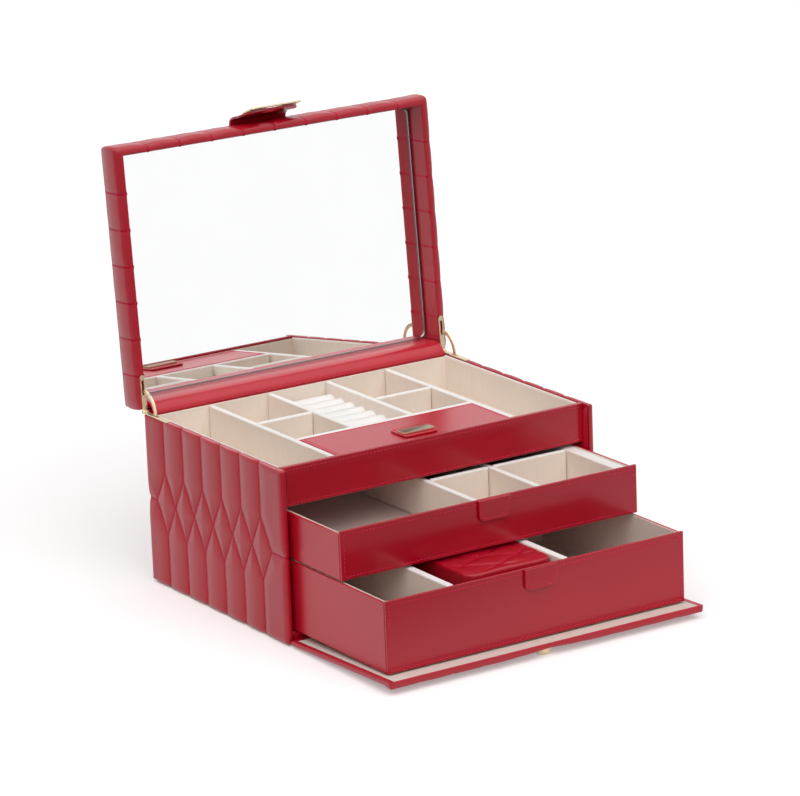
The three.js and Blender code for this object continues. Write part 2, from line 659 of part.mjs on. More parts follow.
// Lid, built shut and then turned back about its hinge line
function lidRim(side) {
  const height = LID_HEIGHT - LID_TOP_CROWN;
  const thick = PANEL_THICK - PAD_CROWN;
  const z = LID_RIM_Z + height / 2;
  const alongSide = side === 'left' || side === 'right';
  const width = alongSide ? CASE_DEPTH : 2 * (INNER_X - FIT);
  const board = quiltedBoard({
    width, length: height, thick, crown: side === 'rear' ? PAD_CROWN : LID_SIDE_CROWN, lozenges: false,
    channels: alongSide ? LID_SIDE_CHANNELS : WIDE_CHANNELS,
  });
  const inner = HALF_DEPTH - PANEL_THICK;
  const places = {
    left: [TOWARD.front, TOWARD.left, [-INNER_X, 0, z]],
    right: [TOWARD.back, TOWARD.right, [INNER_X, 0, z]],
    front: [TOWARD.right, TOWARD.front, [0, -inner, z]],
    rear: [TOWARD.left, TOWARD.back, [0, inner, z]],
  };
  const [across, out, origin] = places[side];
  const rim = orient(board, across, TOWARD.up, out, origin);
  if (!alongSide) return rim;
  const sign = side === 'right' ? 1 : -1;
  return cut(rim, leafRecess(sign, [LID_RIM_Z - 1, LID_RIM_Z + LEAF.thick + FIT - LEAF.inset]),
    stayRoom(sign));
}

// The slot in the lid wall that takes the stay as the lid shuts
function stayRoom(side) {
  const room = alongX(STAY_ROOM_OUTLINE, STAY_THICK + 2 * STAY_ROOM);
  return room.translate(side * LEAF.centre, 0, LID_RIM_Z);
}

function lidTop() {
  const board = quiltedBoard({
    width: CASE_WIDTH - 2 * LID_TOP_INSET, length: CASE_DEPTH - 2 * LID_TOP_INSET, thick: LID_TOP_THICK,
    crown: LID_TOP_CROWN, channels: WIDE_CHANNELS,
  });
  return board.translate(0, 0, LID_TOP_Z - LID_TOP_CROWN - LID_TOP_THICK);
}

function buildLid() {
  const lid = new THREE.Group();
  lid.position.set(0, LID_AXIS_Y, LID_AXIS_Z);
  lid.rotation.x = -rad(LID_OPEN);
  box_object.add(lid);
  const shut = new THREE.Group();
  shut.position.set(0, -LID_AXIS_Y, -LID_AXIS_Z);
  lid.add(shut);
  for (const side of ['left', 'right', 'front', 'rear']) {
    const rim = lidRim(side);
    const lowered = cut(rim, block([-BEYOND, BEYOND], [-BEYOND, BEYOND], [MIRROR_BACK_Z, LID_TOP_Z + 5]));
    add(`lid_rim_${side}`, lowered, RED_LEATHER(), shut);
  }
  add('lid_top_panel', lidTop(), RED_LEATHER(), shut);
  buildMirror(shut);
  for (const [side, name] of [[-1, 'left'], [1, 'right']]) {
    add(`hinge_lid_leaf_${name}`, lidLeaf(side), GOLD(), shut);
  }
  buildClasp(shut);
}

function buildMirror(parent) {
  const x = 2 * (INNER_X - FIT);
  const y = 2 * (HALF_DEPTH - PANEL_THICK - FIT);
  const glassZ = MIRROR_BACK_Z - MIRROR_THICK;
  add('mirror', roundedPlate(x, y, MIRROR_THICK, 2).translate(0, 0, glassZ), MIRROR_GLASS(), parent);
  const [wide, long] = [x - 2 * BEZEL_INSET, y - 2 * BEZEL_INSET];
  const outer = roundedPlate(wide, long, BEZEL_THICK, MIRROR_RADIUS, 6);
  const hole = roundedPlate(wide - 2 * BEZEL_WIDTH, long - 2 * BEZEL_WIDTH, BEZEL_THICK + 2,
    MIRROR_RADIUS - BEZEL_WIDTH, 6);
  const bezel = cut(outer, hole.translate(0, 0, -1));
  add('mirror_bezel', bezel.translate(0, 0, glassZ - FIT - BEZEL_THICK), SILVER(), parent);
}

// Hinge leaves, knuckles, pins and stays
function knuckle(x) {
  const ring = new THREE.CylinderGeometry(KNUCKLE_RADIUS, KNUCKLE_RADIUS, KNUCKLE_LENGTH, 12);
  return ring.rotateZ(Math.PI / 2).translate(x, LID_AXIS_Y, LID_AXIS_Z);
}

function pinHole(x) {
  const hole = new THREE.CylinderGeometry(HINGE_PIN_RADIUS + FIT, HINGE_PIN_RADIUS + FIT, THROUGH, 10);
  return hole.rotateZ(Math.PI / 2).translate(x, LID_AXIS_Y, LID_AXIS_Z);
}

function leafPlate(side, low, slot) {
  const x = side * LEAF.centre;
  const front = HALF_DEPTH - LEAF_START - LEAF.length;
  const plate = roundedPlate(LEAF.width, LEAF.length, LEAF.thick, LEAF.width / 2 - 0.1, 4);
  plate.translate(x, front + LEAF.length / 2, low);
  const square = block([x - LEAF.width / 2, x + LEAF.width / 2],
    [HALF_DEPTH - LEAF_START - LEAF_SQUARE_END, LID_AXIS_Y - KNUCKLE_RADIUS + 0.5], [low, low + LEAF.thick]);
  const wide = STAY_THICK / 2 + STAY_ROOM;
  return cut(join(plate, square), block([x - wide, x + wide], slot, [low - 1, low + LEAF.thick + 1]));
}

function knuckleOffsets(side, outer) {
  const step = KNUCKLE_LENGTH + FIT;
  return outer ? [-step, step].map((dx) => side * LEAF.centre + dx) : [side * LEAF.centre];
}

// The notch in one leaf that clears the other leaf's knuckle
function knuckleGap(x, low) {
  const half = KNUCKLE_LENGTH / 2 + FIT;
  return block([x - half, x + half], [LID_AXIS_Y - KNUCKLE_RADIUS - FIT, LID_AXIS_Y + 3],
    [low - 2, low + 4]);
}

function baseLeaf(side) {
  const low = CASE_HEIGHT - LEAF.thick + LEAF.inset;
  const foot = LID_AXIS_Y - STAY_RADIUS;
  const plate = leafPlate(side, low, [foot - BASE_SLOT_HALF, foot + BASE_SLOT_HALF]);
  const rings = knuckleOffsets(side, true).map(knuckle);
  const gap = knuckleGap(side * LEAF.centre, low);
  return cut(join(cut(plate, gap), ...rings), pinHole(side * LEAF.centre));
}

function lidLeaf(side) {
  const low = LID_RIM_Z - LEAF.inset;
  const plate = leafPlate(side, low, LID_SLOT_FROM_AXIS.map((reach) => LID_AXIS_Y - reach));
  const gaps = knuckleOffsets(side, true).map((x) => knuckleGap(x, low));
  return cut(join(cut(plate, ...gaps), ...knuckleOffsets(side, false).map(knuckle)),
    pinHole(side * LEAF.centre));
}

// A curved brass stay that turns on a rivet in the case wall and slides in the lid leaf's slot.
function stayArm(side) {
  const start = Math.asin((STAY_PIVOT_Z - LID_AXIS_Z) / STAY_RADIUS);
  const end = rad(STAY_END);
  const steps = 12;
  const centre = [];
  for (let i = 0; i <= steps; i += 1) {
    const turn = start + ((end - start) * i) / steps;
    centre.push([LID_AXIS_Y - STAY_RADIUS * Math.cos(turn), LID_AXIS_Z + STAY_RADIUS * Math.sin(turn)]);
  }
  const strip = alongX(sheetOutline(centre, STAY_WIDTH), STAY_THICK);
  const [footY, footZ] = centre[0];
  const boss = new THREE.CylinderGeometry(STAY_BOSS_RADIUS, STAY_BOSS_RADIUS, STAY_THICK, 12)
    .rotateZ(Math.PI / 2);
  return join(strip, boss.translate(0, footY, footZ)).translate(side * LEAF.centre, 0, 0);
}

function buildStays() {
  for (const [side, name] of [[-1, 'left'], [1, 'right']]) {
    add(`hinge_base_leaf_${name}`, baseLeaf(side), GOLD());
    const pin = new THREE.CylinderGeometry(HINGE_PIN_RADIUS, HINGE_PIN_RADIUS, HINGE_PIN_LENGTH, 10)
      .rotateZ(Math.PI / 2);
    add(`hinge_pin_${name}`, pin.translate(side * LEAF.centre, LID_AXIS_Y, LID_AXIS_Z), GOLD());
    add(`stay_arm_${name}`, stayArm(side), GOLD());
  }
}

// Leather strips that cover the hinge lines
function buildHingeStrips() {
  const width = 2 * (INNER_X - HINGE_STRIP_INSET);
  const lidStrip = sheetOutline(LID_STRIP_LINE, LID_STRIP_THICK);
  add('lid_hinge_strip', alongX(lidStrip, width), RED_LEATHER());
  const flapStrip = sheetOutline(FLAP_STRIP_LINE, FLAP_STRIP_THICK);
  add('flap_hinge_strip', alongX(flapStrip, width), RED_LEATHER());
}

// The strap is sewn on the lid's top, passes over its front edge and curls forward.
// Its free end carries the clasp plate, slotted to pass over the turn knob.
function buildClasp(parent) {
  const top = LID_TOP_Z + FIT + STRAP_THICK / 2;
  const edge = -HALF_DEPTH;
  const centre = STRAP_CURL.map(([forward, down]) => [edge - forward, top - down]);
  const strap = alongX(sheetOutline(centre, STRAP_THICK), STRAP_WIDTH);
  const [y1, z1] = centre[centre.length - 2];
  const [y2, z2] = centre[centre.length - 1];
  const along = new THREE.Vector3(0, y1 - y2, z1 - z2).normalize();
  const out = new THREE.Vector3().crossVectors(TOWARD.right, along);
  const plateReach = CLASP_PLATE.height / 2 - CLASP_PLATE_OVERLAP;
  const middle = new THREE.Vector3(0, y2, z2).addScaledVector(along, plateReach);
  const slot = roundedPlate(CLASP_SLOT.width, CLASP_SLOT.height, THROUGH, CLASP_SLOT.round);
  const slotTool = orient(slot.translate(0, 0, -THROUGH / 2), TOWARD.right, along, out, middle.toArray());
  add('clasp_strap', cut(strap, slotTool), RED_LEATHER(), parent);
  const plate = roundedPlate(CLASP_PLATE.width, CLASP_PLATE.height, CLASP_PLATE.thick, CLASP_PLATE.round);
  const seat = middle.clone().addScaledVector(out, STRAP_THICK / 2 + CLASP_PLATE_GAP);
  const placed = orient(plate, TOWARD.right, along, out, seat.toArray());
  add('clasp_plate', cut(placed, slotTool), GOLD(), parent);
}

buildCase();
buildTray();
buildUpperWalls(buildDrawer(UPPER_DRAWER));
buildTravelCase(buildDrawer(LOWER_DRAWER));
buildFlap();
buildLid();
buildStays();
buildHingeStrips();

export default box_object;
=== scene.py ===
# A red quilted leather jewelry box, standing open. Metres, +Z up, the front faces -Y.
import json
import math

import bpy
import numpy as np
from mathutils import Matrix, Vector


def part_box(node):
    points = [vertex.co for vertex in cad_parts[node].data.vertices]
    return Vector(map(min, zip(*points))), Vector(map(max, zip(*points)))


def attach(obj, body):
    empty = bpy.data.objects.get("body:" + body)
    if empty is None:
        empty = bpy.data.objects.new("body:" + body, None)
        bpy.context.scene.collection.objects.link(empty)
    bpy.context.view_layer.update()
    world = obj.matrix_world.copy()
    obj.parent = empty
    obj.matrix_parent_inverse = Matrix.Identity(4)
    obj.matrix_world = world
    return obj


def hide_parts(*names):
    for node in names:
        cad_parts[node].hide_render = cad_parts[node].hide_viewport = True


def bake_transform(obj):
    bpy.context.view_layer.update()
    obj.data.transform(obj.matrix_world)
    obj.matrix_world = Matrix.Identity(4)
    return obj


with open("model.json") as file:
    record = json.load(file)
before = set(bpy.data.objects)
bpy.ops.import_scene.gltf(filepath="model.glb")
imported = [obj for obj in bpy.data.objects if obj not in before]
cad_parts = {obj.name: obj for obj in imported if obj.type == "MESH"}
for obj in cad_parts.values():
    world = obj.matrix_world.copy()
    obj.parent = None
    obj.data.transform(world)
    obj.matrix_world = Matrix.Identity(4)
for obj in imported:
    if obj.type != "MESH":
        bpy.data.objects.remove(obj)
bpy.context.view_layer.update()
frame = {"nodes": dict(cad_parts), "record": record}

MM = 0.001
MERGE_REACH = 0.01 * MM
BODY_OF = {
    node: body
    for body, nodes in frame["record"]["behaviour"]["bodies"].items()
    for node in nodes
}
JOINTS = {joint["name"]: joint for joint in frame["record"]["behaviour"]["joints"]}

# Padding and quilting; a seam's dark line is painted groove shade, and it fades between the seam shade
# distances, in millimetres
SEAM_PITCH = 32.4 * MM
SIDE_SEAMS = [85.5 * MM - i * SEAM_PITCH for i in range(6)]
WIDE_SEAMS = [(i - 4) * SEAM_PITCH for i in range(9)]
LOZENGE_REACH = 0.185
QUILT_SPACING = 1.05 * MM
BOARD_THICK = 3.5 * MM
CROWN = 2 * MM
SIDE_CROWN = 2.6 * MM
EDGE_ROLL = 1.5 * MM
FOOT_ROLL = 0.8 * MM
ROLL_STEPS = 4
SEAM_WIDTH = 0.8 * MM
CINCH_WIDTH = 3 * MM
EDGE_FADE = 5 * MM
SEAM_SHADE_REACH = (0.45, 1.25)

# Stitches
STITCH_PITCH = 3.5 * MM
STITCH_SIZE = (1.5 * MM, 0.42 * MM, 0.36 * MM)
STITCH_LIFT = 0.02 * MM
QUILT_STITCH_LIFT = 0.05 * MM
STITCH_MARGIN = 2.5 * MM
BOARD_MARGIN = 3.2 * MM

# Rooms cut for hinge leaves and stays; STAY_GAP is (beside it, before and under it)
LEAF_GAP = 0.2 * MM
LEAF_REAR_ROOM = 4 * MM
LEAF_ROOM_DEEP = 1.4 * MM
STAY_GAP = (0.5 * MM, 1.6 * MM)
STAY_MOUTH = 7.5 * MM
STAY_SLOT = (88.5 * MM, 112.4 * MM)
STAY_SLOT_DEEP = 26 * MM
PAST = 1 * MM

# Flap
FLAP_BORDER = 4.6 * MM
FLAP_FRONT_BORDER = 1.5 * MM
FLAP_LIP = 1.6 * MM
FLAP_KNOB_ROOM = 26 * MM
FLAP_HOLD = 0.9
FLAP_RECESS = 1.2 * MM
FLAP_THICK = 3.3 * MM
FLAP_CROWN = 1.6 * MM

# Lid; a rim's padding is (how far it swells, how deep a seam draws it in)
LID_TOP_THICK = 2.6 * MM
RIM_INNER_ROUND = 1.1 * MM
RIM_OUTER_ROUND = 2.2 * MM
RIM_CORNER = 0.4 * MM
RIM_CORNER_STEPS = 10
RIM_PLAIN = (CROWN, 0.0)
RIM_LEFT = (4.9 * MM, 0.9 * MM)
RIM_RIGHT = (5.7 * MM, 0.9 * MM)
RIM_FRONT = (4.4 * MM, 1.9 * MM)
RIM_KNOT = 0.8 * MM
KNOT_WIDTH = 1.5 * MM
KNOT_REACH = 4 * MM
RIM_SINK = 0.3 * MM
RIM_CLEAR = 0.3 * MM
RIM_PROUD = 0.2 * MM
LEAF_SHORTER = 9 * MM
HINGE_LEATHER_THICK = 0.9 * MM

# Clasp strap in the shut lid, in millimetres: its start (y, z) and its points forward of it and down
STRAP_TOP = (-115.5, 187.1)
STRAP_CURL = [(-38, 0), (-8, 0), (2, 0.6), (6, 3.5), (8, 9), (9.4, 17), (12.2, 26), (15, 35)]
STRAP_WIDTH = 58 * MM
STRAP_THICK = 1.8 * MM
STRAP_ROUND = 18 * MM
CLASP_SLOT = (17 * MM, 12 * MM)
CLASP_SLOT_UP = 7 * MM

UNMOVED = Matrix.Identity(4)
UP = Vector((0, 0, 1))
RIGHT = Vector((1, 0, 0))
BACK = Vector((0, 1, 0))

LID_AXIS = Vector(JOINTS["lid_hinge"]["pos_m"])
LID_OPEN = math.radians(-JOINTS["lid_hinge"]["range_deg"][0])
LID_PLACE = (
    Matrix.Translation(LID_AXIS) @ Matrix.Rotation(-LID_OPEN, 4, "X") @ Matrix.Translation(-LID_AXIS)
)
KNOB_AXIS = Vector(JOINTS["knob_turn"]["axis"])
FLAP_PLACE = (
    Matrix.Translation(Vector(JOINTS["flap_hinge"]["pos_m"]))
    @ Matrix.Rotation(-math.atan2(KNOB_AXIS.y, KNOB_AXIS.z), 4, "X")
)


# Working on pieces
def only(*objects):
    """Selects these objects alone and makes the first one active."""
    bpy.ops.object.select_all(action="DESELECT")
    for item in objects:
        item.select_set(True)
    bpy.context.view_layer.objects.active = objects[0]


def finish_with(piece, kind, **settings):
    """Adds a modifier and applies it."""
    modifier = piece.modifiers.new(kind.title(), kind)
    for key, value in settings.items():
        setattr(modifier, key, value)
    only(piece)
    bpy.ops.object.modifier_apply(modifier=modifier.name)


def named(piece, name):
    piece.name = name
    piece.data.name = name
    return piece


def new_primitive(name, adder, **settings):
    """Adds a primitive at its size and place, and moves that place into its mesh."""
    bpy.ops.object.select_all(action="DESELECT")
    adder(**settings)
    piece = named(bpy.context.object, name)
    bpy.ops.object.transform_apply(location=True, rotation=True, scale=True)
    return piece


def box_between(name, low, high):
    middle = (Vector(low) + Vector(high)) / 2
    size = Vector(high) - Vector(low)
    return new_primitive(name, bpy.ops.mesh.primitive_cube_add, size=1, location=middle, scale=size)


def copied(piece, name, matrix):
    """A copy with its own mesh, moved by a matrix."""
    twin = bpy.data.objects.new(name, piece.data.copy())
    bpy.context.scene.collection.objects.link(twin)
    twin.data.transform(matrix)
    return named(twin, name)


def joined(name, pieces):
    only(*pieces)
    if len(pieces) > 1:
        bpy.ops.object.join()
    return named(bpy.context.object, name)


def edit(piece, *steps):
    """Runs edit-mode steps on a piece's selection."""
    only(piece)
    bpy.ops.object.mode_set(mode="EDIT")
    for step in steps:
        step()
    bpy.ops.object.mode_set(mode="OBJECT")


def select_all():
    bpy.ops.mesh.select_all(action="SELECT")


def select_none(kind):
    bpy.ops.mesh.select_mode(type=kind)
    bpy.ops.mesh.select_all(action="DESELECT")


def select_open_edge():
    select_none("EDGE")
    bpy.ops.mesh.select_non_manifold(extend=False)


def select_edges(piece, wanted):
    """Selects the edges whose two ends both pass a test on the vertex position."""
    edit(piece, lambda: select_none("EDGE"))
    inside = [wanted(v.co) for v in piece.data.vertices]
    for edge in piece.data.edges:
        edge.select = inside[edge.vertices[0]] and inside[edge.vertices[1]]


def select_faces(piece, wanted):
    edit(piece, lambda: select_none("FACE"))
    for face in piece.data.polygons:
        face.select = wanted(face)


MERGE = (select_all, lambda: bpy.ops.mesh.remove_doubles(threshold=MERGE_REACH))


def outward(piece):
    edit(piece, select_all, lambda: bpy.ops.mesh.normals_make_consistent(inside=False))


def smooth_below(piece, degrees):
    """Shades a piece smooth, apart from edges sharper than an angle."""
    only(piece)
    bpy.ops.object.shade_smooth_by_angle(angle=math.radians(degrees))


def merged_copy(node, name):
    """A copy of a CAD node with its loose triangles merged into whole faces."""
    piece = copied(frame["nodes"][node], name, UNMOVED)
    only(piece)
    bpy.ops.mesh.customdata_custom_splitnormals_clear()
    edit(piece, *MERGE, lambda: bpy.ops.mesh.dissolve_limited(angle_limit=math.radians(2)))
    return piece


def softened(piece, radius):
    """Rounds every edge sharper than 30 degrees."""
    only(piece)
    bpy.ops.object.shade_smooth()
    finish_with(piece, "BEVEL", width=radius, segments=3, limit_method="ANGLE",
                angle_limit=math.radians(30), harden_normals=True)
    return piece


def settle(piece, material, slot, *nodes, body=None, fill=None):
    """Gives a piece its finish, the CAD nodes that it stands for and the body that it rides on."""
    piece.data.materials.clear()
    piece.data.materials.append(material)
    if nodes:
        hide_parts(*nodes)
    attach(piece, body or BODY_OF[nodes[0]])
    return piece


def rounded_node(node, radius, material, slot):
    """The CAD node's own shape with softly rounded edges."""
    piece = softened(merged_copy(node, f"{node}_finished"), radius)
    return settle(piece, material, slot, node)


def local_box(node, place):
    """A CAD node's box in a place's own frame."""
    back = place.inverted()
    points = np.array([back @ vertex.co for vertex in frame["nodes"][node].data.vertices])
    return Vector(points.min(axis=0)), Vector(points.max(axis=0))


def facing(origin, out, up):
    """A frame with local Z pointing out of a panel and local Y up it."""
    across = up.cross(out)
    turn = Matrix((across, up, out)).transposed().to_4x4()
    return Matrix.Translation(origin) @ turn


# Node trees
def feed(tree, made, inputs):
    """Fills a node's inputs; each is a value or the socket that feeds it."""
    for key, value in inputs.items():
        if isinstance(value, bpy.types.NodeSocket):
            tree.links.new(value, made.inputs[key])
        else:
            made.inputs[key].default_value = value


def node(tree, kind, inputs=None, **settings):
    made = tree.nodes.new("ShaderNode" + kind)
    for key, value in settings.items():
        setattr(made, key, value)
    feed(tree, made, inputs or {})
    return made


def math_node(tree, operation, first, second=0.0, third=0.0):
    return node(tree, "Math", {0: first, 1: second, 2: third}, operation=operation).outputs[0]


def remap(tree, value, low, high):
    """Stretches a 0 to 1 value to the range low to high."""
    return node(tree, "MapRange", {"Value": value, "To Min": low, "To Max": high}).outputs["Result"]


def eased(tree, value, start_end, low_high):
    """Goes smoothly from one level to another between two values."""
    return node(tree, "MapRange", {"Value": value, "From Min": start_end[0], "From Max": start_end[1],
                                   "To Min": low_high[0], "To Max": low_high[1]},
                interpolation_type="SMOOTHSTEP").outputs["Result"]


def dot(tree, vector, direction):
    return node(tree, "VectorMath", {0: vector, 1: direction}, operation="DOT_PRODUCT").outputs["Value"]


def blend_colors(tree, factor, first, second, blend="MIX"):
    """Mixes two colours; 0, 6 and 7 are the colour sockets of a Mix node."""
    return node(tree, "Mix", {0: factor, 6: first, 7: second}, data_type="RGBA",
                blend_type=blend).outputs[2]


def noise(tree, where, scale, detail=2.0, roughness=0.5):
    made = node(tree, "TexNoise", {"Vector": where, "Scale": scale, "Detail": detail,
                                   "Roughness": roughness})
    return made.outputs["Fac"]


def effect(name, inputs, outputs):
    """An empty shader group with float sockets: its tree, its input sockets and its output node."""
    tree = bpy.data.node_groups.new(name, "ShaderNodeTree")
    for label, value in inputs.items():
        tree.interface.new_socket(label, in_out="INPUT", socket_type="NodeSocketFloat").default_value = value
    for label in outputs:
        tree.interface.new_socket(label, in_out="OUTPUT", socket_type="NodeSocketFloat")
    return tree, tree.nodes.new("NodeGroupInput").outputs, tree.nodes.new("NodeGroupOutput")


def make_grain():
    """Leather grain: small rounded pebbles with fine pores, Size in cells per metre."""
    tree, given, out = effect("leather_grain", {"Size": 900.0, "Pores": 0.4}, ["Height", "Tone"])
    where = node(tree, "TexCoord").outputs["Object"]
    cells = node(tree, "TexVoronoi", {"Vector": where, "Scale": given["Size"], "Smoothness": 0.6},
                 feature="SMOOTH_F1")
    pebble = math_node(tree, "SUBTRACT", 1.0, cells.outputs["Distance"])
    pores = noise(tree, where, 3200.0, 3.0, 0.6)
    feed(tree, out, {"Height": math_node(tree, "MULTIPLY_ADD", pores, given["Pores"], pebble),
                     "Tone": noise(tree, where, 260.0, 3.0, 0.55)})
    return tree


def make_drift():
    """Slow change of tone over a hide, a cloth or a mirror."""
    tree, given, out = effect("slow_drift", {"Size": 9.0}, ["Tone"])
    where = node(tree, "TexCoord").outputs["Object"]
    feed(tree, out, {"Tone": noise(tree, where, given["Size"], 2.0, 0.45)})
    return tree


def make_nap():
    """Suede nap: patches brushed up and down and a fine pile."""
    tree, given, out = effect("suede_nap", {"Patches": 130.0, "Pile": 2600.0}, ["Height", "Tone"])
    where = node(tree, "TexCoord").outputs["Object"]
    stretched = node(tree, "Mapping", {"Vector": where, "Scale": (1.6, 1.6, 0.4)}).outputs[0]
    patches = noise(tree, stretched, given["Patches"], 4.0, 0.6)
    pile = noise(tree, where, given["Pile"], 2.0, 0.7)
    brushed = math_node(tree, "MULTIPLY", patches, 0.65)
    feed(tree, out, {"Height": pile, "Tone": math_node(tree, "MULTIPLY_ADD", pile, 0.35, brushed)})
    return tree


def make_polish():
    """Polishing marks on metal: fine scratches across and a slow cloudiness."""
    tree, given, out = effect("polish_marks", {"Scratches": 700.0}, ["Height", "Tone"])
    where = node(tree, "TexCoord").outputs["Object"]
    drawn = node(tree, "Mapping", {"Vector": where, "Scale": (1.0, 14.0, 14.0)}).outputs[0]
    scratches = noise(tree, drawn, given["Scratches"], 3.0, 0.7)
    feed(tree, out, {"Height": scratches, "Tone": noise(tree, where, 120.0, 2.0, 0.5)})
    return tree


GRAIN = make_grain()
DRIFT = make_drift()
NAP = make_nap()
POLISH = make_polish()


def placed(tree, effect_tree, **values):
    """Places one of the effects in a material with its own values."""
    made = tree.nodes.new("ShaderNodeGroup")
    made.node_tree = effect_tree
    for key, value in values.items():
        made.inputs[key].default_value = value
    return made.outputs


def new_material(name):
    material = bpy.data.materials.new(name)
    material.use_nodes = True
    tree = material.node_tree
    return material, tree, tree.nodes["Principled BSDF"]


def bumped(tree, height, distance, strength):
    return node(tree, "Bump", {"Height": height, "Distance": distance, "Strength": strength}).outputs[0]


def shade(color, amount):
    return (color[0] * amount, color[1] * amount, color[2] * amount, 1.0)


WHITE = (1.0, 1.0, 1.0, 1.0)
SHINE = 0.42


def leather(name, color, roughness=0.36, grain=0.1, size=900.0, coat=0.1, gloss=0.2, seam_shaded=False):
    """Grained leather. With the seam shade switch on, the piece's seam attribute, in millimetres from the
    seam,
    paints groove shade into the leather: a darker crimson, dull along its seams."""
    material, tree, shader = new_material(name)
    drift = placed(tree, DRIFT)["Tone"]
    hide = placed(tree, GRAIN, Size=size)
    slow = blend_colors(tree, drift, shade(color, 0.9), shade(color, 1.1))
    tint = blend_colors(tree, hide["Tone"], shade(WHITE, 0.93), WHITE)
    skin = blend_colors(tree, 1.0, slow, tint, "MULTIPLY")
    feed(tree, shader, {"Coat Weight": coat, "Coat Roughness": gloss, "Specular IOR Level": SHINE})
    # Painted groove shade: darker crimson, no coat and little specular near a seam
    if seam_shaded:
        away = node(tree, "Attribute", attribute_name="seam").outputs["Fac"]
        groove_shade = eased(tree, away, SEAM_SHADE_REACH, (1.0, 0.0))
        skin = blend_colors(tree, math_node(tree, "MULTIPLY", groove_shade, 0.85), skin, SEAM_SHADE_COLOR)
        feed(tree, shader, {"Coat Weight": remap(tree, groove_shade, coat, 0.0),
                            "Specular IOR Level": remap(tree, groove_shade, SHINE, 0.1)})
    feed(tree, shader, {"Base Color": skin,
                        "Roughness": remap(tree, hide["Tone"], roughness - 0.05, roughness + 0.06),
                        "Normal": bumped(tree, hide["Height"], grain * MM, 0.6)})
    return material


def suede(name, color, contrast, sheen=0.15):
    """Matte cloth with a brushed nap."""
    material, tree, shader = new_material(name)
    nap = placed(tree, NAP)
    drift = placed(tree, DRIFT, Size=14.0)["Tone"]
    brushed = blend_colors(tree, nap["Tone"], shade(color, 1 - contrast), shade(color, 1 + contrast / 2))
    slow = blend_colors(tree, drift, shade(WHITE, 0.95), WHITE)
    feed(tree, shader, {"Base Color": blend_colors(tree, 1.0, brushed, slow, "MULTIPLY"),
                        "Roughness": remap(tree, nap["Tone"], 0.87, 0.95),
                        "Specular IOR Level": 0.15, "Sheen Weight": sheen, "Sheen Roughness": 0.5,
                        "Normal": bumped(tree, nap["Height"], 0.12 * MM, 0.5)})
    return material


def metal(name, color, roughness, metallic=1.0):
    """Polished metal with faint scratches."""
    material, tree, shader = new_material(name)
    marks = placed(tree, POLISH)
    tint = blend_colors(tree, marks["Tone"], shade(color, 0.92), shade(color, 1.04))
    feed(tree, shader, {"Base Color": tint, "Metallic": metallic,
                        "Roughness": remap(tree, marks["Tone"], roughness - 0.06, roughness + 0.08),
                        "Normal": bumped(tree, marks["Height"], 0.02 * MM, 0.4)})
    return material


def mirror_glass(name):
    """Silvered glass, perfectly sharp, with a faint cloudiness of tone."""
    material, tree, shader = new_material(name)
    haze = placed(tree, DRIFT, Size=30.0)["Tone"]
    tint = blend_colors(tree, haze, (0.895, 0.9, 0.9, 1.0), (0.92, 0.925, 0.925, 1.0))
    feed(tree, shader, {"Base Color": tint, "Metallic": 1.0, "Roughness": 0.0})
    return material


RED = (0.44, 0.002, 0.016)
# Painted groove shade: the colour laid along the quilting seams
SEAM_SHADE_COLOR = (0.42, 0.003, 0.028, 1.0)
QUILTED_LEATHER = leather("quilted_leather", RED, roughness=0.34, coat=0.2, seam_shaded=True)
BOARD_LEATHER = leather("board_leather", RED, roughness=0.22, grain=0.015, coat=0.15, gloss=0.1)
# Painted light: a lighter copy of the same red leather for the cover and its tab, the drawer boxes and the
# inner hinge strip
LEATHER_PAINTED_LIGHT = leather("leather_painted_light", (0.52, 0.004, 0.02), roughness=0.3, grain=0.04, coat=0.2)
THREAD = leather("red_thread", (0.70, 0.008, 0.06), roughness=0.6, grain=0.03, size=4000.0, coat=0.0)
LINING = suede("cream_lining", (0.88, 0.775, 0.68), contrast=0.1)
# Painted shade: a darker copy of the cream lining for the drawer insides and the flap's lining
LINING_PAINTED_SHADE = suede("cream_lining_painted_shade", (0.80, 0.70, 0.62), contrast=0.16)
CARD = suede("divider_cloth", (0.95, 0.93, 0.90), contrast=0.06)
RING_CLOTH = suede("ring_cloth", (0.97, 0.95, 0.93), contrast=0.05, sheen=0.3)
DARK_GOLD = metal("sunken_gold", (0.22, 0.17, 0.11), 0.3)
FELT = suede("base_felt", (0.74, 0.66, 0.58), contrast=0.2)
GOLD = metal("pale_gold", (0.80, 0.66, 0.44), 0.2, metallic=0.75)
SILVER = metal("polished_silver", (0.36, 0.37, 0.38), 0.16)
MIRROR = mirror_glass("mirror_glass")


# Stitches
def one_stitch():
    """A short plump thread, raised in the middle and sunk at its ends."""
    return new_primitive("stitch", bpy.ops.mesh.primitive_uv_sphere_add, segments=6, ring_count=4,
                         radius=1, scale=STITCH_SIZE)


def sew(name, runs, body, place=UNMOVED):
    """Sews straight runs, each (start, end, outward normal), into one piece of stitches."""
    stitch = one_stitch()
    stitches = []
    for start, end, normal in runs:
        start, end, normal = Vector(start), Vector(end), Vector(normal).normalized()
        run = end - start
        count = max(1, round(run.length / STITCH_PITCH))
        along = run.normalized()
        turn = Matrix((along, normal.cross(along), normal)).transposed().to_4x4()
        for i in range(count):
            middle = start + run * ((i + 0.5) / count)
            stitches.append(copied(stitch, name, place @ Matrix.Translation(middle) @ turn))
    bpy.data.objects.remove(stitch)
    seam = joined(name, stitches)
    only(seam)
    bpy.ops.object.shade_smooth()
    return settle(seam, THREAD, "red_leather", body=body)


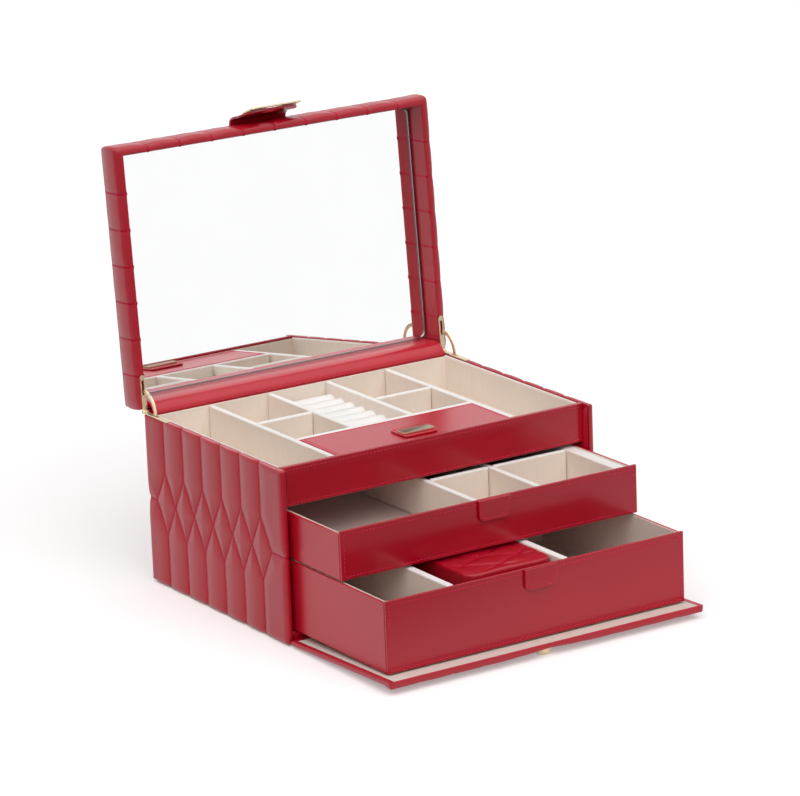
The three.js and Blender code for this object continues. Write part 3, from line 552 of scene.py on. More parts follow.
def sew_border(node_name, normal, body, side, near, far):
    """Sews round a board's face, in by a margin at its sides, its near or lower edge and its far edge."""
    low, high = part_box(node_name)
    up = 2 if normal == -BACK else 1
    corners = []
    for x, v in ((low[0] + side, low[up] + near), (high[0] - side, low[up] + near),
                 (high[0] - side, high[up] - far), (low[0] + side, high[up] - far)):
        corners.append((x, low[1] - STITCH_LIFT, v) if up == 2 else (x, v, high[2] + STITCH_LIFT))
    sew(f"{node_name}_stitches", [(a, b, normal) for a, b in zip(corners, corners[1:] + corners[:1])], body)


# Quilted padding
def rolled_stations(size):
    """Stations from one edge of a padded board to the other: place, height limit and rise to the flat."""
    turn = np.linspace(0, math.pi / 2, ROLL_STEPS + 1)
    foot = np.linspace(-math.pi / 2, 0, ROLL_STEPS)[:-1]
    count = max(2, round((size - 2 * EDGE_ROLL) / QUILT_SPACING))
    middle = np.linspace(EDGE_ROLL, size - EDGE_ROLL, count + 1)[1:-1]
    edge = np.concatenate([FOOT_ROLL * (1 - np.cos(foot)), EDGE_ROLL * (1 - np.cos(turn))])
    limit = np.concatenate([FOOT_ROLL * (1 + np.sin(foot)), np.full(turn.shape, 1.0)])
    rise = np.concatenate([np.zeros(foot.shape), np.sin(turn)])
    flat = np.ones(middle.shape)
    place = np.concatenate([edge, middle, size - edge[::-1]]) - size / 2
    return place, np.concatenate([limit, flat, limit[::-1]]), np.concatenate([rise, flat, rise[::-1]])


def quilt_seams(width, length, places):
    """Seams run up a panel and open into a row of lozenges at its mid height."""
    reach = LOZENGE_REACH * length
    seams = []
    for x in places:
        for side in (-1, 1):
            seams.append(((x, side * length / 2), (x, side * reach)))
            seams += [((x, side * reach), (x + lean * SEAM_PITCH / 2, 0)) for lean in (-1, 1)]
    seams.append(((min(places) - SEAM_PITCH / 2, 0), (-width / 2, 0)))
    seams.append(((max(places) + SEAM_PITCH / 2, 0), (width / 2, 0)))
    return seams


def distance_to_seams(x, y, seams):
    nearest = np.full(x.shape, np.inf)
    for (ax, ay), (bx, by) in seams:
        dx, dy = bx - ax, by - ay
        share = np.clip(((x - ax) * dx + (y - ay) * dy) / (dx * dx + dy * dy), 0, 1)
        nearest = np.minimum(nearest, np.hypot(x - ax - share * dx, y - ay - share * dy))
    return nearest


def puff(distance, half_pitch):
    """Height of padding, 0 to 1, at a distance from its seam."""
    rounded = np.sqrt(distance ** 2 + SEAM_WIDTH ** 2) - SEAM_WIDTH
    share = np.clip(rounded / (half_pitch - SEAM_WIDTH / 2), 0, 1)
    return (1 - (1 - share) ** 2) ** 0.6


def grid_piece(name, columns, rows):
    """A grid of squares; returns it with the column and row of each vertex."""
    piece = new_primitive(name, bpy.ops.mesh.primitive_grid_add, size=2,
                          x_subdivisions=columns, y_subdivisions=rows)
    across, along = np.array([vertex.co[:2] for vertex in piece.data.vertices]).T
    column = np.rint((across + 1) / 2 * columns).astype(int)
    return piece, column, np.rint((along + 1) / 2 * rows).astype(int)


def move_vertices(piece, x, y, z):
    piece.data.vertices.foreach_set("co", np.stack([x, y, z], axis=1).ravel())
    piece.data.update()


def note_seams(piece, distance):
    """Stores each vertex's distance from a seam in millimetres."""
    layer = piece.data.attributes.new("seam", "FLOAT", "POINT")
    layer.data.foreach_set("value", (distance / MM).astype(np.float32))


def close_foot(piece, border=0.0, front_border=0.0, recess=0.0):
    """Closes the open underside of a padded board, with a sunk field inside a border if one is given."""
    if border:
        half_x, half_y = (max(abs(v.co[axis]) for v in piece.data.vertices) for axis in (0, 1))
        edit(piece, select_open_edge, bpy.ops.mesh.extrude_region)
        for vertex in piece.data.vertices:
            if vertex.select:
                vertex.co.x = max(border - half_x, min(half_x - border, vertex.co.x))
                vertex.co.y = max(border - half_y, min(half_y - front_border, vertex.co.y))
        edit(piece, bpy.ops.mesh.extrude_region,
             lambda: bpy.ops.transform.translate(value=(0, 0, recess)))
    edit(piece, select_open_edge, bpy.ops.mesh.edge_face_add)
    if border:
        edit(piece, *MERGE)
    outward(piece)


def quilted_panel(name, width, length, thick, crown, seams, corner=2 * MM, half_pitch=SEAM_PITCH / 2,
                  edge_share=0.55, cinch=0.45 * MM, hold=0.0, lip=0.0, plain_edge=0.0, **foot):
    """A padded board on local X and Y, its padded face toward +Z, its corners rounded in plan. Near its
    edges the padding keeps edge_share of its crown, hold fills its seams and cinch draws them in."""
    xs, limit_x, rise_x = rolled_stations(width)
    ys, limit_y, rise_y = rolled_stations(length)
    piece, column, row = grid_piece(name, len(xs) - 1, len(ys) - 1)
    x, y = xs[column], ys[row]
    distance = distance_to_seams(x, y, seams)
    to_edge = np.minimum(width / 2 - np.abs(x), length / 2 - np.abs(y))
    edge = edge_share + (1 - edge_share) * np.sin(np.clip(to_edge / EDGE_FADE, 0, 1) * math.pi / 2)
    lift = rise_x[column] * rise_y[row]
    puffed = puff(distance, half_pitch)
    puffed += (1 - puffed) * hold * np.clip(1 - to_edge / (2 * EDGE_FADE), 0, 1)
    full = crown * puffed * edge
    if lip:
        near_front = np.clip((y - length / 2 + 2 * EDGE_FADE) / EDGE_FADE, 0, 1)
        full += lip * near_front * (1 - np.exp(-(x / FLAP_KNOB_ROOM) ** 2))
    z = thick - EDGE_ROLL + lift * (EDGE_ROLL + full)
    z = np.minimum(z, np.minimum(limit_x[column], limit_y[row]))
    over_x = np.clip((np.abs(x) - width / 2 + corner) / corner, 0, 1)
    over_y = np.clip((np.abs(y) - length / 2 + corner) / corner, 0, 1)
    pull_x = corner * over_x * (1 - np.sqrt(1 - over_y ** 2 / 2))
    pull_y = corner * over_y * (1 - np.sqrt(1 - over_x ** 2 / 2))
    drawn_in = cinch * np.exp(-(distance / CINCH_WIDTH) ** 2)
    pull_x += np.where(over_x > 0, drawn_in, 0)
    pull_y += np.where(over_y > 0, drawn_in, 0)
    move_vertices(piece, x - np.sign(x) * pull_x, y - np.sign(y) * pull_y, z)
    # Seams within plain_edge of the edge get no painted groove shade
    note_seams(piece, np.where(to_edge < plain_edge, half_pitch, distance))
    close_foot(piece, **foot)
    smooth_below(piece, 55)
    return piece


def panel_runs(seams, height, margin, width, length):
    """Stitch runs on a padded board's seams, ending a margin short of its edges."""
    runs = []
    for ends in seams:
        a, b = (
            Vector((max(-width / 2 + margin, min(width / 2 - margin, x)),
                    max(-length / 2 + margin, min(length / 2 - margin, y)), height))
            for x, y in ends
        )
        runs.append((a, b, UP))
    return runs


# Case
def cut_slots(piece, boxes, place=UNMOVED):
    """Cuts square slots through a piece."""
    for low, high in boxes:
        tool = box_between("slot_tool", low, high)
        tool.data.transform(place)
        finish_with(piece, "BOOLEAN", operation="DIFFERENCE", object=tool, solver="MANIFOLD")
        bpy.data.objects.remove(tool)


def side_rooms(side, top):
    """The boxes cut into a side panel for its hinge leaf and for its stay."""
    low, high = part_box(f"hinge_base_leaf_{side}")
    leaf = ((low[0] - LEAF_GAP, low[1] - LEAF_GAP, top - LEAF_ROOM_DEEP),
            (high[0] + LEAF_GAP, high[1] + LEAF_REAR_ROOM, top + PAST))
    low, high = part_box(f"stay_arm_{side}")
    beside, round_it = STAY_GAP
    stay = ((low[0] - beside, low[1] - round_it, low[2] - round_it),
            (high[0] + beside, low[1] + STAY_MOUTH, top + PAST))
    return [leaf, stay]


def side_panels():
    for side, out in (("left", -RIGHT), ("right", RIGHT)):
        node_name = f"side_panel_{side}"
        low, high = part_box(node_name)
        depth = high[1] - low[1]
        height = high[2] - low[2]
        seams = quilt_seams(depth, height, [y * out.x for y in SIDE_SEAMS])
        panel = quilted_panel(f"side_padding_{side}", depth, height, BOARD_THICK, SIDE_CROWN, seams)
        inner_x = min(abs(low[0]), abs(high[0])) * out.x
        origin = Vector((inner_x, (low[1] + high[1]) / 2, (low[2] + high[2]) / 2))
        place = facing(origin, out, UP)
        panel.data.transform(place)
        cut_slots(panel, side_rooms(side, high[2]))
        settle(panel, QUILTED_LEATHER, "red_leather", node_name, fill=0.5)
        runs = panel_runs(seams, BOARD_THICK + QUILT_STITCH_LIFT, STITCH_MARGIN, depth, height)
        sew(f"side_stitches_{side}", runs, "case", place)


def tray_front():
    rounded_node("tray_front_wall", 1.0 * MM, BOARD_LEATHER, "red_leather")
    low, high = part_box("tray_front_wall")
    y = low[1] - STITCH_LIFT
    runs = [((low[0] + BOARD_MARGIN, y, z), (high[0] - BOARD_MARGIN, y, z), -BACK)
            for z in (high[2] - 3.5 * MM, low[2] + STITCH_MARGIN)]
    sew("tray_front_stitches", runs, "case")


# Tray
def two_tone(piece, material, wanted):
    """Gives the faces that pass a test a second material."""
    piece.data.materials.append(material)
    for face in piece.data.polygons:
        if wanted(face):
            face.material_index = 1


def tray_lining():
    """The cloth box of the tray, with piping along its sides that stands higher at the left."""
    low, high = (Vector(corner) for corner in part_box("tray_lining"))
    wide = 1.5 * MM
    foot, left_top, right_top = high.z - 1.2 * MM, high.z + 2 * MM, high.z + 0.9 * MM
    bars = [((low.x, low.y + wide, foot), (low.x + wide, high.y, left_top)),
            ((high.x - wide, low.y + wide, foot), (high.x, high.y, right_top))]
    piping = [softened(box_between("piping", *bar), 0.5 * MM) for bar in bars]
    box = softened(merged_copy("tray_lining", "tray_lining_finished"), 0.5 * MM)
    box = joined("tray_lining_finished", [box, *piping])
    settle(box, LINING, "lining", "tray_lining")
    two_tone(box, CARD, lambda face: face.center.z > high.z + 0.1 * MM)


def dividers():
    """Walls of cloth over card, their tops paler than their faces."""
    for name in frame["nodes"]:
        if "divider" in name or "_wall" in name and name != "tray_front_wall":
            wall = rounded_node(name, 1.8 * MM, LINING, "divider_card")
            two_tone(wall, CARD, lambda face: face.normal.z > 0.3)


def ring_rolls():
    """Soft rolls side by side on a block, one behind the other."""
    low, high = (Vector(corner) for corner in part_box("ring_roll_pad"))
    rolls, snug = 8, 0.985
    pitch = (high.y - low.y) / rolls
    radius = pitch / 2
    width = high.x - low.x
    first = new_primitive("ring_roll", bpy.ops.mesh.primitive_cylinder_add, vertices=28,
                          radius=radius * snug, depth=width, rotation=(0, math.pi / 2, 0),
                          location=(0, low.y + radius, high.z - radius))
    select_edges(first, lambda place: abs(place.x) > width / 2 - 0.1 * MM)
    edit(first, lambda: bpy.ops.mesh.bevel(offset=3.2 * MM, segments=5, profile=0.5))
    ends = [copied(first, f"ring_roll_{i}", Matrix.Translation((0, i * pitch, 0))) for i in range(1, rolls)]
    block = box_between("ring_block", (low.x, low.y, low.z), (high.x, high.y, high.z - radius))
    softened(block, 0.8 * MM)
    cushion = joined("ring_rolls", [first, *ends, block])
    smooth_below(cushion, 40)
    settle(cushion, RING_CLOTH, "ring_cloth", "ring_roll_pad", fill=0.8)


def cover():
    rounded_node("compartment_cover", 0.9 * MM, LEATHER_PAINTED_LIGHT, "smooth_leather")
    rounded_node("cover_tab", 0.6 * MM, LEATHER_PAINTED_LIGHT, "smooth_leather")
    for node_name, inset in (("compartment_cover", 2.5 * MM), ("cover_tab", 2 * MM)):
        sew_border(node_name, UP, "cover", inset, inset, inset)
    name_plate()


def name_plate():
    """A bare plate with a raised rim round a plain sunken face."""
    plate = merged_copy("cover_plate", "cover_plate_finished")
    _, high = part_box("cover_plate")
    select_faces(plate, lambda face: face.normal.z > 0.9)
    edit(plate, lambda: bpy.ops.mesh.inset(thickness=1.3 * MM),
         lambda: bpy.ops.transform.translate(value=(0, 0, -0.4 * MM)))
    softened(plate, 0.15 * MM)
    settle(plate, GOLD, "gold", "cover_plate")
    two_tone(plate, DARK_GOLD, lambda face: face.normal.z > 0.9 and face.center.z < high[2] - 0.2 * MM)


# Drawers
def drawers():
    for drawer in ("upper_drawer", "lower_drawer"):
        rounded_node(f"{drawer}_front", 0.9 * MM, BOARD_LEATHER, "red_leather")
        sew_border(f"{drawer}_front", -BACK, drawer, BOARD_MARGIN, 2.8 * MM, 4.2 * MM)
        rounded_node(f"{drawer}_box", 0.8 * MM, LEATHER_PAINTED_LIGHT, "smooth_leather")
        lining = softened(merged_copy(f"{drawer}_lining", f"{drawer}_lining_finished"), 0.5 * MM)
        low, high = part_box(f"{drawer}_lining")
        side, lip = 3 * MM, 1.6 * MM
        cut_slots(lining, [((low[0] + side, low[1] - PAST, high[2] - lip),
                            (high[0] - side, low[1] + side, high[2] + PAST))])
        settle(lining, LINING_PAINTED_SHADE, "lining", f"{drawer}_lining")
        pull_tab(drawer)


def pull_tab(drawer):
    """A thick stitched tab, a little right of the middle, with rounded corners."""
    node_name = f"{drawer}_pull_tab"
    low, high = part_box(node_name)
    aside, thicker = 2.2 * MM, 1.5
    back = Matrix.Translation((aside, high[1], 0))
    tab = merged_copy(node_name, f"{node_name}_finished")
    tab.data.transform(back @ Matrix.Scale(thicker, 4, BACK) @ Matrix.Translation((0, -high[1], 0)))
    softened(tab, 0.7 * MM)
    settle(tab, BOARD_LEATHER, "red_leather", node_name)
    inset, turn, top = 2.4 * MM, 4 * MM, high[2] - 1.5 * MM
    near = turn * 0.3
    y = high[1] - (high[1] - low[1]) * thicker - STITCH_LIFT
    left, right, foot = low[0] + aside + inset, high[0] + aside - inset, low[2] + inset
    path = [(left, top), (left, foot + turn), (left + near, foot + near), (left + turn, foot),
            (right - turn, foot), (right - near, foot + near), (right, foot + turn), (right, top)]
    points = [Vector((x, y, z)) for x, z in path]
    sew(f"{drawer}_tab_stitches", [(a, b, -BACK) for a, b in zip(points, points[1:])], drawer)


def crossed_seams(width, depth):
    """Two sets of slanting seams that cross all over a lid."""
    seams = []
    slant, pitch = 0.5, 28 * MM
    crossing_x, crossing_y = -2.5 * MM, -29.6 * MM
    for slope in (-slant, slant):
        for step in range(-3, 5):
            shift = crossing_y - crossing_x * slope + step * pitch
            ends = sorted((side * depth / 2 - shift) / slope for side in (-1, 1))
            left, right = max(-width / 2, ends[0]), min(width / 2, ends[1])
            if right - left > 4 * MM:
                seams.append(((left, slope * left + shift), (right, slope * right + shift)))
    return seams


def travel_case():
    """A small padded case with crossed seams on its lid."""
    low, high = (Vector(corner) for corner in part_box("travel_case_lid"))
    width, depth = high.x - low.x, high.y - low.y
    crown, taller = 2 * MM, 1.4 * MM
    thick = high.z - low.z + taller - crown
    seams = crossed_seams(width, depth)
    lid = quilted_panel("travel_case_top", width, depth, thick, crown, seams, corner=9 * MM,
                        half_pitch=12 * MM, edge_share=0.8, cinch=0, hold=0.8, plain_edge=4 * MM)
    middle = (low + high) / 2
    place = Matrix.Translation((middle.x, middle.y, low.z))
    lid.data.transform(place)
    settle(lid, QUILTED_LEATHER, "red_leather", "travel_case_lid", fill=0.7)
    runs = panel_runs(seams, thick + 0.1 * MM, 6 * MM, width, depth)
    sew("travel_case_stitches", runs, "lower_drawer", place)
    base = rounded_node("travel_case_base", 2.5 * MM, BOARD_LEATHER, "red_leather")


# Flap
def flap():
    low, high = local_box("flap_board", FLAP_PLACE)
    width, length = high.x - low.x, high.y - low.y
    seams = quilt_seams(width, length, WIDE_SEAMS)
    board = quilted_panel("flap_padding", width, length, FLAP_THICK, FLAP_CROWN, seams,
                          edge_share=FLAP_HOLD, cinch=0, hold=FLAP_HOLD, lip=FLAP_LIP, plain_edge=2 * MM,
                          border=FLAP_BORDER, front_border=FLAP_FRONT_BORDER, recess=FLAP_RECESS)
    origin = Vector((0, (low.y + high.y) / 2, FLAP_THICK))
    place = FLAP_PLACE @ facing(origin, -UP, -BACK)
    board.data.transform(place)
    settle(board, QUILTED_LEATHER, "red_leather", "flap_board", fill=0.4)
    runs = panel_runs(seams, FLAP_THICK + QUILT_STITCH_LIFT, STITCH_MARGIN, width, length)
    sew("flap_quilt_stitches", runs, "flap", place)
    inset = FLAP_BORDER / 2
    x, front, back = high.x - inset, low.y + inset, high.y - inset
    z = FLAP_THICK + STITCH_LIFT
    runs = [((side * x, front, z), (side * x, back, z), UP) for side in (-1, 1)]
    sew("flap_border_stitches", runs, "flap", FLAP_PLACE)
    lining = merged_copy("flap_lining", "flap_lining_finished")
    lining_low, _ = local_box("flap_lining", FLAP_PLACE)
    reach_out(lining, FLAP_PLACE, lining_low.y + 4 * MM, FLAP_FRONT_BORDER - FLAP_BORDER)
    settle(softened(lining, 0.5 * MM), LINING_PAINTED_SHADE, "lining", "flap_lining")
    rounded_node("knob_collar", 0.15 * MM, GOLD, "gold")
    rounded_node("turn_knob", 0.25 * MM, GOLD, "gold")


def reach_out(piece, place, limit, distance):
    """Moves the end of a piece in front of a limit forward or back, both in a place's own frame."""
    piece.data.transform(place.inverted())
    for vertex in piece.data.vertices:
        if vertex.co.y < limit:
            vertex.co.y += distance
    piece.data.transform(place)


# Lid
def wall_outline(height, rise):
    """The lid wall's section over a seam. Each row is a point outward and up, its share of the swelling
    outward, its movement up and its share of the knot at a seam's inner end."""
    inner, outer, brow = RIM_INNER_ROUND, RIM_OUTER_ROUND, 1.6 * MM
    seam = BOARD_THICK + RIM_PROUD
    brim = seam + 2.4 * MM
    quarter = np.linspace(0, math.pi / 2, 6)

    def share(up):
        return max(math.sin(math.pi * (up + 2 * MM) / (rise + 4 * MM)), 0) ** 0.4

    rows = [(0.0, v, 0.0, 0.0, max(0.0, 1 - (v - inner) / KNOT_REACH))
            for v in np.linspace(height, inner, 14)[:-1]]
    rows += [(inner * (1 - math.cos(a)), inner * (1 - math.sin(a)), 0.0, -RIM_SINK * math.sin(a),
              math.cos(a)) for a in quarter]
    rows += [(seam - outer * (1 - math.sin(a)), outer * (1 - math.cos(a)), share(outer) * math.sin(a),
              -RIM_SINK * math.cos(a), 0.0) for a in quarter]
    rows.append((seam - 0.5 * MM, outer + 0.5 * MM, share(outer), 0.0, 0.0))
    rows += [(seam, v, share(v), 0.0, 0.0) for v in np.linspace(outer + MM, rise - brow, 9)]
    rows += [(seam + (brim - seam) * (1 - math.cos(a)), rise - brow * (1 - math.sin(a)),
              share(rise - brow) * math.cos(a), 0.0, 0.0) for a in quarter[1:]]
    rows.append((brim, height, 0.0, 0.0, 0.0))
    return np.array(rows + rows[:1])


def wall_path(half_x, half_y):
    """Stations round the lid wall: corner centre, outward direction, reach, seam distance and padding.
    A higher squareness makes the corner after a side squarer."""
    far = 1.0
    sides = [(RIGHT, half_x, half_y, SIDE_SEAMS, RIM_RIGHT, 14), (BACK, half_y, half_x, [], RIM_PLAIN, 14),
             (-RIGHT, half_x, half_y, [-y for y in SIDE_SEAMS], RIM_LEFT, 6),
             (-BACK, half_y, half_x, WIDE_SEAMS, RIM_FRONT, 8)]
    stations = []
    for i, (out, away, half, seams, padding, squareness) in enumerate(sides):
        along = UP.cross(out)
        run = half - RIM_CORNER
        centre = out * (away - RIM_CORNER)
        for t in np.linspace(-run, run, round(2 * run / QUILT_SPACING)):
            nearest = min((abs(t - s) for s in seams), default=far)
            stations.append((*(centre + along * t)[:2], *out[:2], 1.0, nearest, *padding))
        following = sides[(i + 1) % 4][4]
        for step in range(1, RIM_CORNER_STEPS):
            share = step / RIM_CORNER_STEPS
            c, s = math.cos(share * math.pi / 2), math.sin(share * math.pi / 2)
            toward = out * c + along * s
            mixed = [a + (b - a) * share for a, b in zip(padding, following)]
            reach = (c ** squareness + s ** squareness) ** (-1 / squareness)
            stations.append((*(centre + along * run)[:2], *toward[:2], reach, far, *mixed))
    return np.array(stations + stations[:1])


def lid_wall():
    """The padded wall round the mirror, one hide with rounded corners."""
    nodes = [f"lid_rim_{side}" for side in ("left", "right", "front", "rear")]
    boxes = {node_name: local_box(node_name, LID_PLACE) for node_name in nodes}
    half_x = boxes["lid_rim_right"][0].x
    half_y = boxes["lid_rim_rear"][0].y
    foot, top = boxes["lid_rim_left"][0].z, boxes["lid_rim_left"][1].z
    outline = wall_outline(top - foot, local_box("lid_top_panel", LID_PLACE)[1].z - MM - foot)
    path = wall_path(half_x, half_y)
    piece, column, row = grid_piece("lid_padding", len(outline) - 1, len(path) - 1)
    out, up, share, lift, knot = outline[column].T
    centre_x, centre_y, out_x, out_y, reach, distance, crown, dent = path[row].T
    puffed = puff(distance, SEAM_PITCH / 2)
    swelling = share * (crown - RIM_PROUD - dent * (1 - puffed))
    pinch = RIM_KNOT * knot * np.exp(-(distance / KNOT_WIDTH) ** 2)
    spread = (RIM_CORNER + out + swelling - pinch) * reach
    move_vertices(piece, centre_x + out_x * spread, centre_y + out_y * spread,
                  foot + RIM_CLEAR + up * (1 - RIM_CLEAR / (top - foot)) + lift * puffed)
    note_seams(piece, distance)
    edit(piece, *MERGE)
    outward(piece)
    cut_slots(piece, [room for side in ("left", "right") for room in stay_room(side, foot)])
    piece.data.transform(LID_PLACE)
    smooth_below(piece, 55)
    settle(piece, QUILTED_LEATHER, "red_leather", *nodes, fill=0.5)
    sew_lid_wall(half_x, half_y, foot, top)


def sew_lid_wall(half_x, half_y, foot, top):
    """Stitches across the wall's outer face, edge and inner face at each seam."""
    sides = {"left": (-RIGHT, half_x, SIDE_SEAMS, RIM_LEFT), "right": (RIGHT, half_x, SIDE_SEAMS, RIM_RIGHT),
             "front": (-BACK, half_y, WIDE_SEAMS, RIM_FRONT)}
    for side, (out, away, seams, padding) in sides.items():
        along = RIGHT if side == "front" else BACK
        runs = []
        for place in seams:
            inner = out * (away - QUILT_STITCH_LIFT) + along * place
            outer = out * (away + BOARD_THICK + padding[0] - padding[1]) + along * place
            edge = out * away + along * place + UP * (foot + RIM_CLEAR - 0.03 * MM)
            runs += [(outer + UP * (foot + 5 * MM), outer + UP * (top - MM), out),
                     (edge + out * 0.4 * MM, edge + out * (BOARD_THICK + MM), -UP),
                     (inner + UP * (foot + MM), inner + UP * (top - 4 * MM), -out)]
        sew(f"lid_stitches_{side}", runs, "lid", LID_PLACE)


def stay_room(side, rim_z):
    """Slots in a lid wall for the hinge leaf and for the stay as the lid shuts."""
    low, high = local_box(f"hinge_lid_leaf_{side}", LID_PLACE)
    middle = (low.x + high.x) / 2
    half = 1.1 * MM
    start, end = STAY_SLOT
    leaf = ((low.x - LEAF_GAP, low.y + LEAF_SHORTER - LEAF_GAP, rim_z - PAST),
            (high.x + LEAF_GAP, high.y + LEAF_REAR_ROOM, rim_z + half))
    stay = ((middle - half, start, rim_z - PAST), (middle + half, end, rim_z + STAY_SLOT_DEEP))
    return [leaf, stay]


def lid_top():
    low, high = local_box("lid_top_panel", LID_PLACE)
    width, length = high.x - low.x, high.y - low.y
    seams = quilt_seams(width, length, WIDE_SEAMS)
    panel = quilted_panel("lid_top_padding", width, length, LID_TOP_THICK, CROWN, seams, corner=3 * MM)
    place = LID_PLACE @ Matrix.Translation(((low.x + high.x) / 2, (low.y + high.y) / 2, low.z))
    panel.data.transform(place)
    settle(panel, QUILTED_LEATHER, "red_leather", "lid_top_panel", fill=0.5)
    runs = panel_runs(seams, LID_TOP_THICK + QUILT_STITCH_LIFT, 3 * MM, width, length)
    sew("lid_top_stitches", runs, "lid", place)


def lid_leaves():
    for side in ("left", "right"):
        node_name = f"hinge_lid_leaf_{side}"
        low, _ = local_box(node_name, LID_PLACE)
        leaf = merged_copy(node_name, f"{node_name}_finished")
        reach_out(leaf, LID_PLACE, low.y + 6 * MM, LEAF_SHORTER)
        settle(softened(leaf, 0.15 * MM), GOLD, "gold", node_name)


def bezel():
    """The silver frame, moved out to the wall at both sides."""
    frame_of_mirror = merged_copy("mirror_bezel", "mirror_bezel_finished")
    frame_of_mirror.data.transform(Matrix.Scale(1.012, 4, RIGHT))
    settle(softened(frame_of_mirror, 0.3 * MM), SILVER, "silver", "mirror_bezel")


def clasp():
    """The curled strap, round at its free corners, and its plate."""
    line = [(STRAP_TOP[0] - forward, STRAP_TOP[1] - down) for forward, down in STRAP_CURL]
    strap = strip_along("clasp_strap_finished", line, 8, STRAP_WIDTH, STRAP_THICK, STRAP_ROUND)
    before, end = (Vector((0, y, z)) * MM for y, z in line[-2:])
    back = (before - end).normalized()
    place = Matrix.Translation(end + back * CLASP_SLOT_UP) @ Matrix(
        (RIGHT, back, RIGHT.cross(back))).transposed().to_4x4()
    half_x, half_y = CLASP_SLOT[0] / 2, CLASP_SLOT[1] / 2
    cut_slots(strap, [((-half_x, -half_y, -5 * MM), (half_x, half_y, 5 * MM))], place)
    strap.data.transform(LID_PLACE)
    smooth_below(strap, 50)
    settle(strap, BOARD_LEATHER, "red_leather", "clasp_strap")
    rounded_node("clasp_plate", 0.3 * MM, GOLD, "gold")


def strip_along(name, line, steps, width, thick, corner=0.0):
    """A strip of leather across the box that follows a smooth curve through (y, z) points, in
    millimetres. A corner radius rounds the two corners of its far end."""
    points = np.array(smooth_line(line, steps)) * MM
    steps = np.hypot(*np.diff(points, axis=0).T)
    to_end = np.append(np.cumsum(steps[::-1])[::-1], 0)
    half = np.full(len(points), width / 2)
    if corner:
        into = np.clip(corner - to_end, 0, corner)
        half -= corner - np.sqrt(corner ** 2 - into ** 2)
    piece, column, row = grid_piece(name, 60, len(points) - 1)
    move_vertices(piece, (column / 30 - 1) * half[row], points[row, 0], points[row, 1])
    outward(piece)
    finish_with(piece, "SOLIDIFY", thickness=thick, offset=0)
    smooth_below(piece, 50)
    return piece


def smooth_line(points, steps):
    """A smooth curve through points, steps to each span."""
    points = [Vector((y, z, 0)) for y, z in points]
    points = [2 * points[0] - points[1], *points, 2 * points[-1] - points[-2]]
    curve = []
    for a, b, c, d in zip(points, points[1:], points[2:], points[3:]):
        for i in range(steps):
            t = i / steps
            curve.append(0.5 * (2 * b + (c - a) * t + (2 * a - 5 * b + 4 * c - d) * t ** 2
                                + (3 * b - a - 3 * c + d) * t ** 3))
    curve.append(points[-2])
    return [(p.x, p.y) for p in curve]


def hinge_leather():
    """Leather over the lid's hinge line outside, and a smooth strip inside up to the mirror."""
    low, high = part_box("lid_hinge_strip")
    width = high[0] - low[0]
    outside = [(116.3, 130), (116.3, 151), (116.9, 153.6), (118.6, 155.2), (121, 155.6), (146, 153.6)]
    strip = strip_along("lid_hinge_leather", outside, 5, width, HINGE_LEATHER_THICK)
    strip.data.materials.append(BOARD_LEATHER)
    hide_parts("lid_hinge_strip")
    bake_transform(strip)
    inside = [(109.9, 154.6), (111.2, 157.4), (113.8, 160.4), (117.5, 162.9), (123, 163.9),
              (132, 163.2), (141.5, 162.2)]
    lip = strip_along("lid_inner_hinge_leather", inside, 5, width, HINGE_LEATHER_THICK)
    lip.data.materials.append(LEATHER_PAINTED_LIGHT)
    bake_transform(lip)
    under = [(-114.7, 11), (-114.7, 4), (-115.1, 2.9), (-116.1, 2.5), (-117.2, 2.9)]
    foot = strip_along("flap_hinge_leather", under, 4, width, 0.7 * MM)
    settle(foot, BOARD_LEATHER, "red_leather", "flap_hinge_strip")


def rigid_nodes():
    """Nodes whose own shape is right, with their edges softened."""
    finishes = [
        (1.0, BOARD_LEATHER, "red_leather", ["base_board", "back_panel", "drawer_shelf", "tray_floor"]),
        (0.6, FELT, "lining", ["base_pad"]),
        (0.15, GOLD, "gold", [
            "hinge_base_leaf_left", "hinge_base_leaf_right", "hinge_pin_left", "hinge_pin_right",
            "stay_arm_left", "stay_arm_right"]),
        (0.3, MIRROR, "mirror_glass", ["mirror"]),
    ]
    for radius, material, slot, nodes in finishes:
        for node_name in nodes:
            rounded_node(node_name, radius * MM, material, slot)


# Stage: the floor's colour is pale up to the first fade distance, in metres along FLOOR_AHEAD, and painted
# dark beyond the second, as painted shade that the box reflects, except where it is seen directly or in a
# sharp mirror; a lamp is (direction toward it, strength, degrees wide)
FLOOR_AHEAD = (-0.35, -0.94, 0.0)
FLOOR_SHADE_FADE = (0.31, 0.47)
FLOOR_GLOW = 0.3
SEEN = ("Camera", "Glossy", "Transmission")
SKY_LIGHT = 0.12
DARK_SIDE = (-0.53, -0.85, 0.0)
DARK_SPREAD = (0.5, 0.95)
DARK_LEVEL = 0.25
LAMPS = {"overhead_light": ((-0.12, -0.2, 1.0), 1.6, 100), "front_light": ((-0.4, -0.85, 0.85), 1.4, 80)}


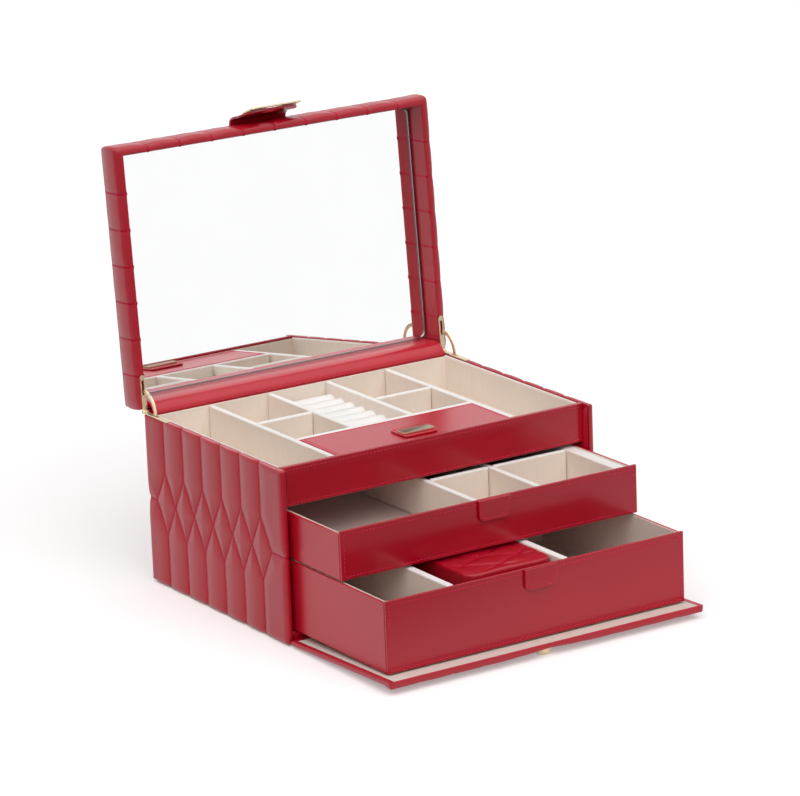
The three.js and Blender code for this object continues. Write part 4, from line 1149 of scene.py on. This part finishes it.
def floor():
    """A pale floor, also seen in the box's reflections, with painted shade toward the camera's side."""
    plane = new_primitive("floor", bpy.ops.mesh.primitive_plane_add, size=14, location=(0, 1.5, -0.1 * MM))
    material, tree, shader = new_material("pale_floor")
    where = node(tree, "TexCoord").outputs["Object"]
    # Painted shade: past the fade the floor's colour drops to dark grey for every ray but direct camera rays
    # and sharp mirror rays
    beyond = eased(tree, dot(tree, where, FLOOR_AHEAD), FLOOR_SHADE_FADE, (0.0, 1.0))
    unseen = math_node(tree, "SUBTRACT", 1.0, ray_is(tree, "Camera", "Singular"))
    painted_floor_shade = math_node(tree, "MULTIPLY", beyond, unseen)
    feed(tree, shader, {
        "Base Color": blend_colors(tree, painted_floor_shade, shade(WHITE, 0.85), shade(WHITE, 0.12)), "Roughness": 1,
        "Specular IOR Level": 0, "Emission Color": WHITE,
        "Emission Strength": math_node(tree, "MULTIPLY", ray_is(tree, *SEEN), FLOOR_GLOW)})
    plane.data.materials.append(material)


def ray_is(tree, *kinds):
    """1 for a ray of any of these kinds."""
    path = node(tree, "LightPath").outputs
    answer = 0.0
    for kind in kinds:
        answer = math_node(tree, "MAXIMUM", answer, path[f"Is {kind} Ray"])
    return answer


def light():
    """Two broad lamps and a sky that is white to the camera and dimmer on the camera's side otherwise."""
    world = bpy.data.worlds.new("studio")
    bpy.context.scene.world = world
    world.use_nodes = True
    tree = world.node_tree
    ray = node(tree, "TexCoord").outputs["Generated"]
    dimmed = eased(tree, dot(tree, ray, DARK_SIDE), DARK_SPREAD, (1.0, DARK_LEVEL))
    kept = math_node(tree, "MAXIMUM", dimmed, ray_is(tree, "Camera"))
    level = math_node(tree, "MULTIPLY", remap(tree, ray_is(tree, *SEEN), SKY_LIGHT, 1.0), kept)
    feed(tree, tree.nodes["Background"], {"Color": WHITE, "Strength": level})
    for name, (way, strength, angle) in LAMPS.items():
        data = bpy.data.lights.new(name, "SUN")
        data.energy = strength
        data.angle = math.radians(angle)
        lamp = bpy.data.objects.new(name, data)
        lamp.rotation_euler = Vector(way).to_track_quat("Z", "Y").to_euler()
        bpy.context.scene.collection.objects.link(lamp)


CAMERA_PLACE = Vector((-1.91045, -3.08151, 1.1855))
CAMERA_YAW = math.radians(32.25)
CAMERA_PITCH = math.radians(15.74)
CAMERA_ROLL = math.radians(-2.17)
CAMERA_LENS = 193.73


def camera():
    """The photograph's camera; it turns by its yaw, looks down by its pitch and leans by its roll."""
    data = bpy.data.cameras.new("photo_camera")
    data.lens = CAMERA_LENS
    data.sensor_width = 36
    data.sensor_fit = "HORIZONTAL"
    data.clip_end = 30
    taken = bpy.data.objects.new("photo_camera", data)
    taken.matrix_world = (
        Matrix.Translation(CAMERA_PLACE) @ Matrix.Rotation(-CAMERA_YAW, 4, "Z")
        @ Matrix.Rotation(math.pi / 2 - CAMERA_PITCH, 4, "X") @ Matrix.Rotation(CAMERA_ROLL, 4, "Z")
    )
    bpy.context.scene.collection.objects.link(taken)
    bpy.context.scene.camera = taken


camera()
light()
floor()
side_panels()
rigid_nodes()
tray_front()
tray_lining()
dividers()
ring_rolls()
cover()
drawers()
travel_case()
flap()
lid_wall()
lid_top()
lid_leaves()
bezel()
clasp()
hinge_leather()

bpy.context.scene.view_settings.view_transform = "Standard"
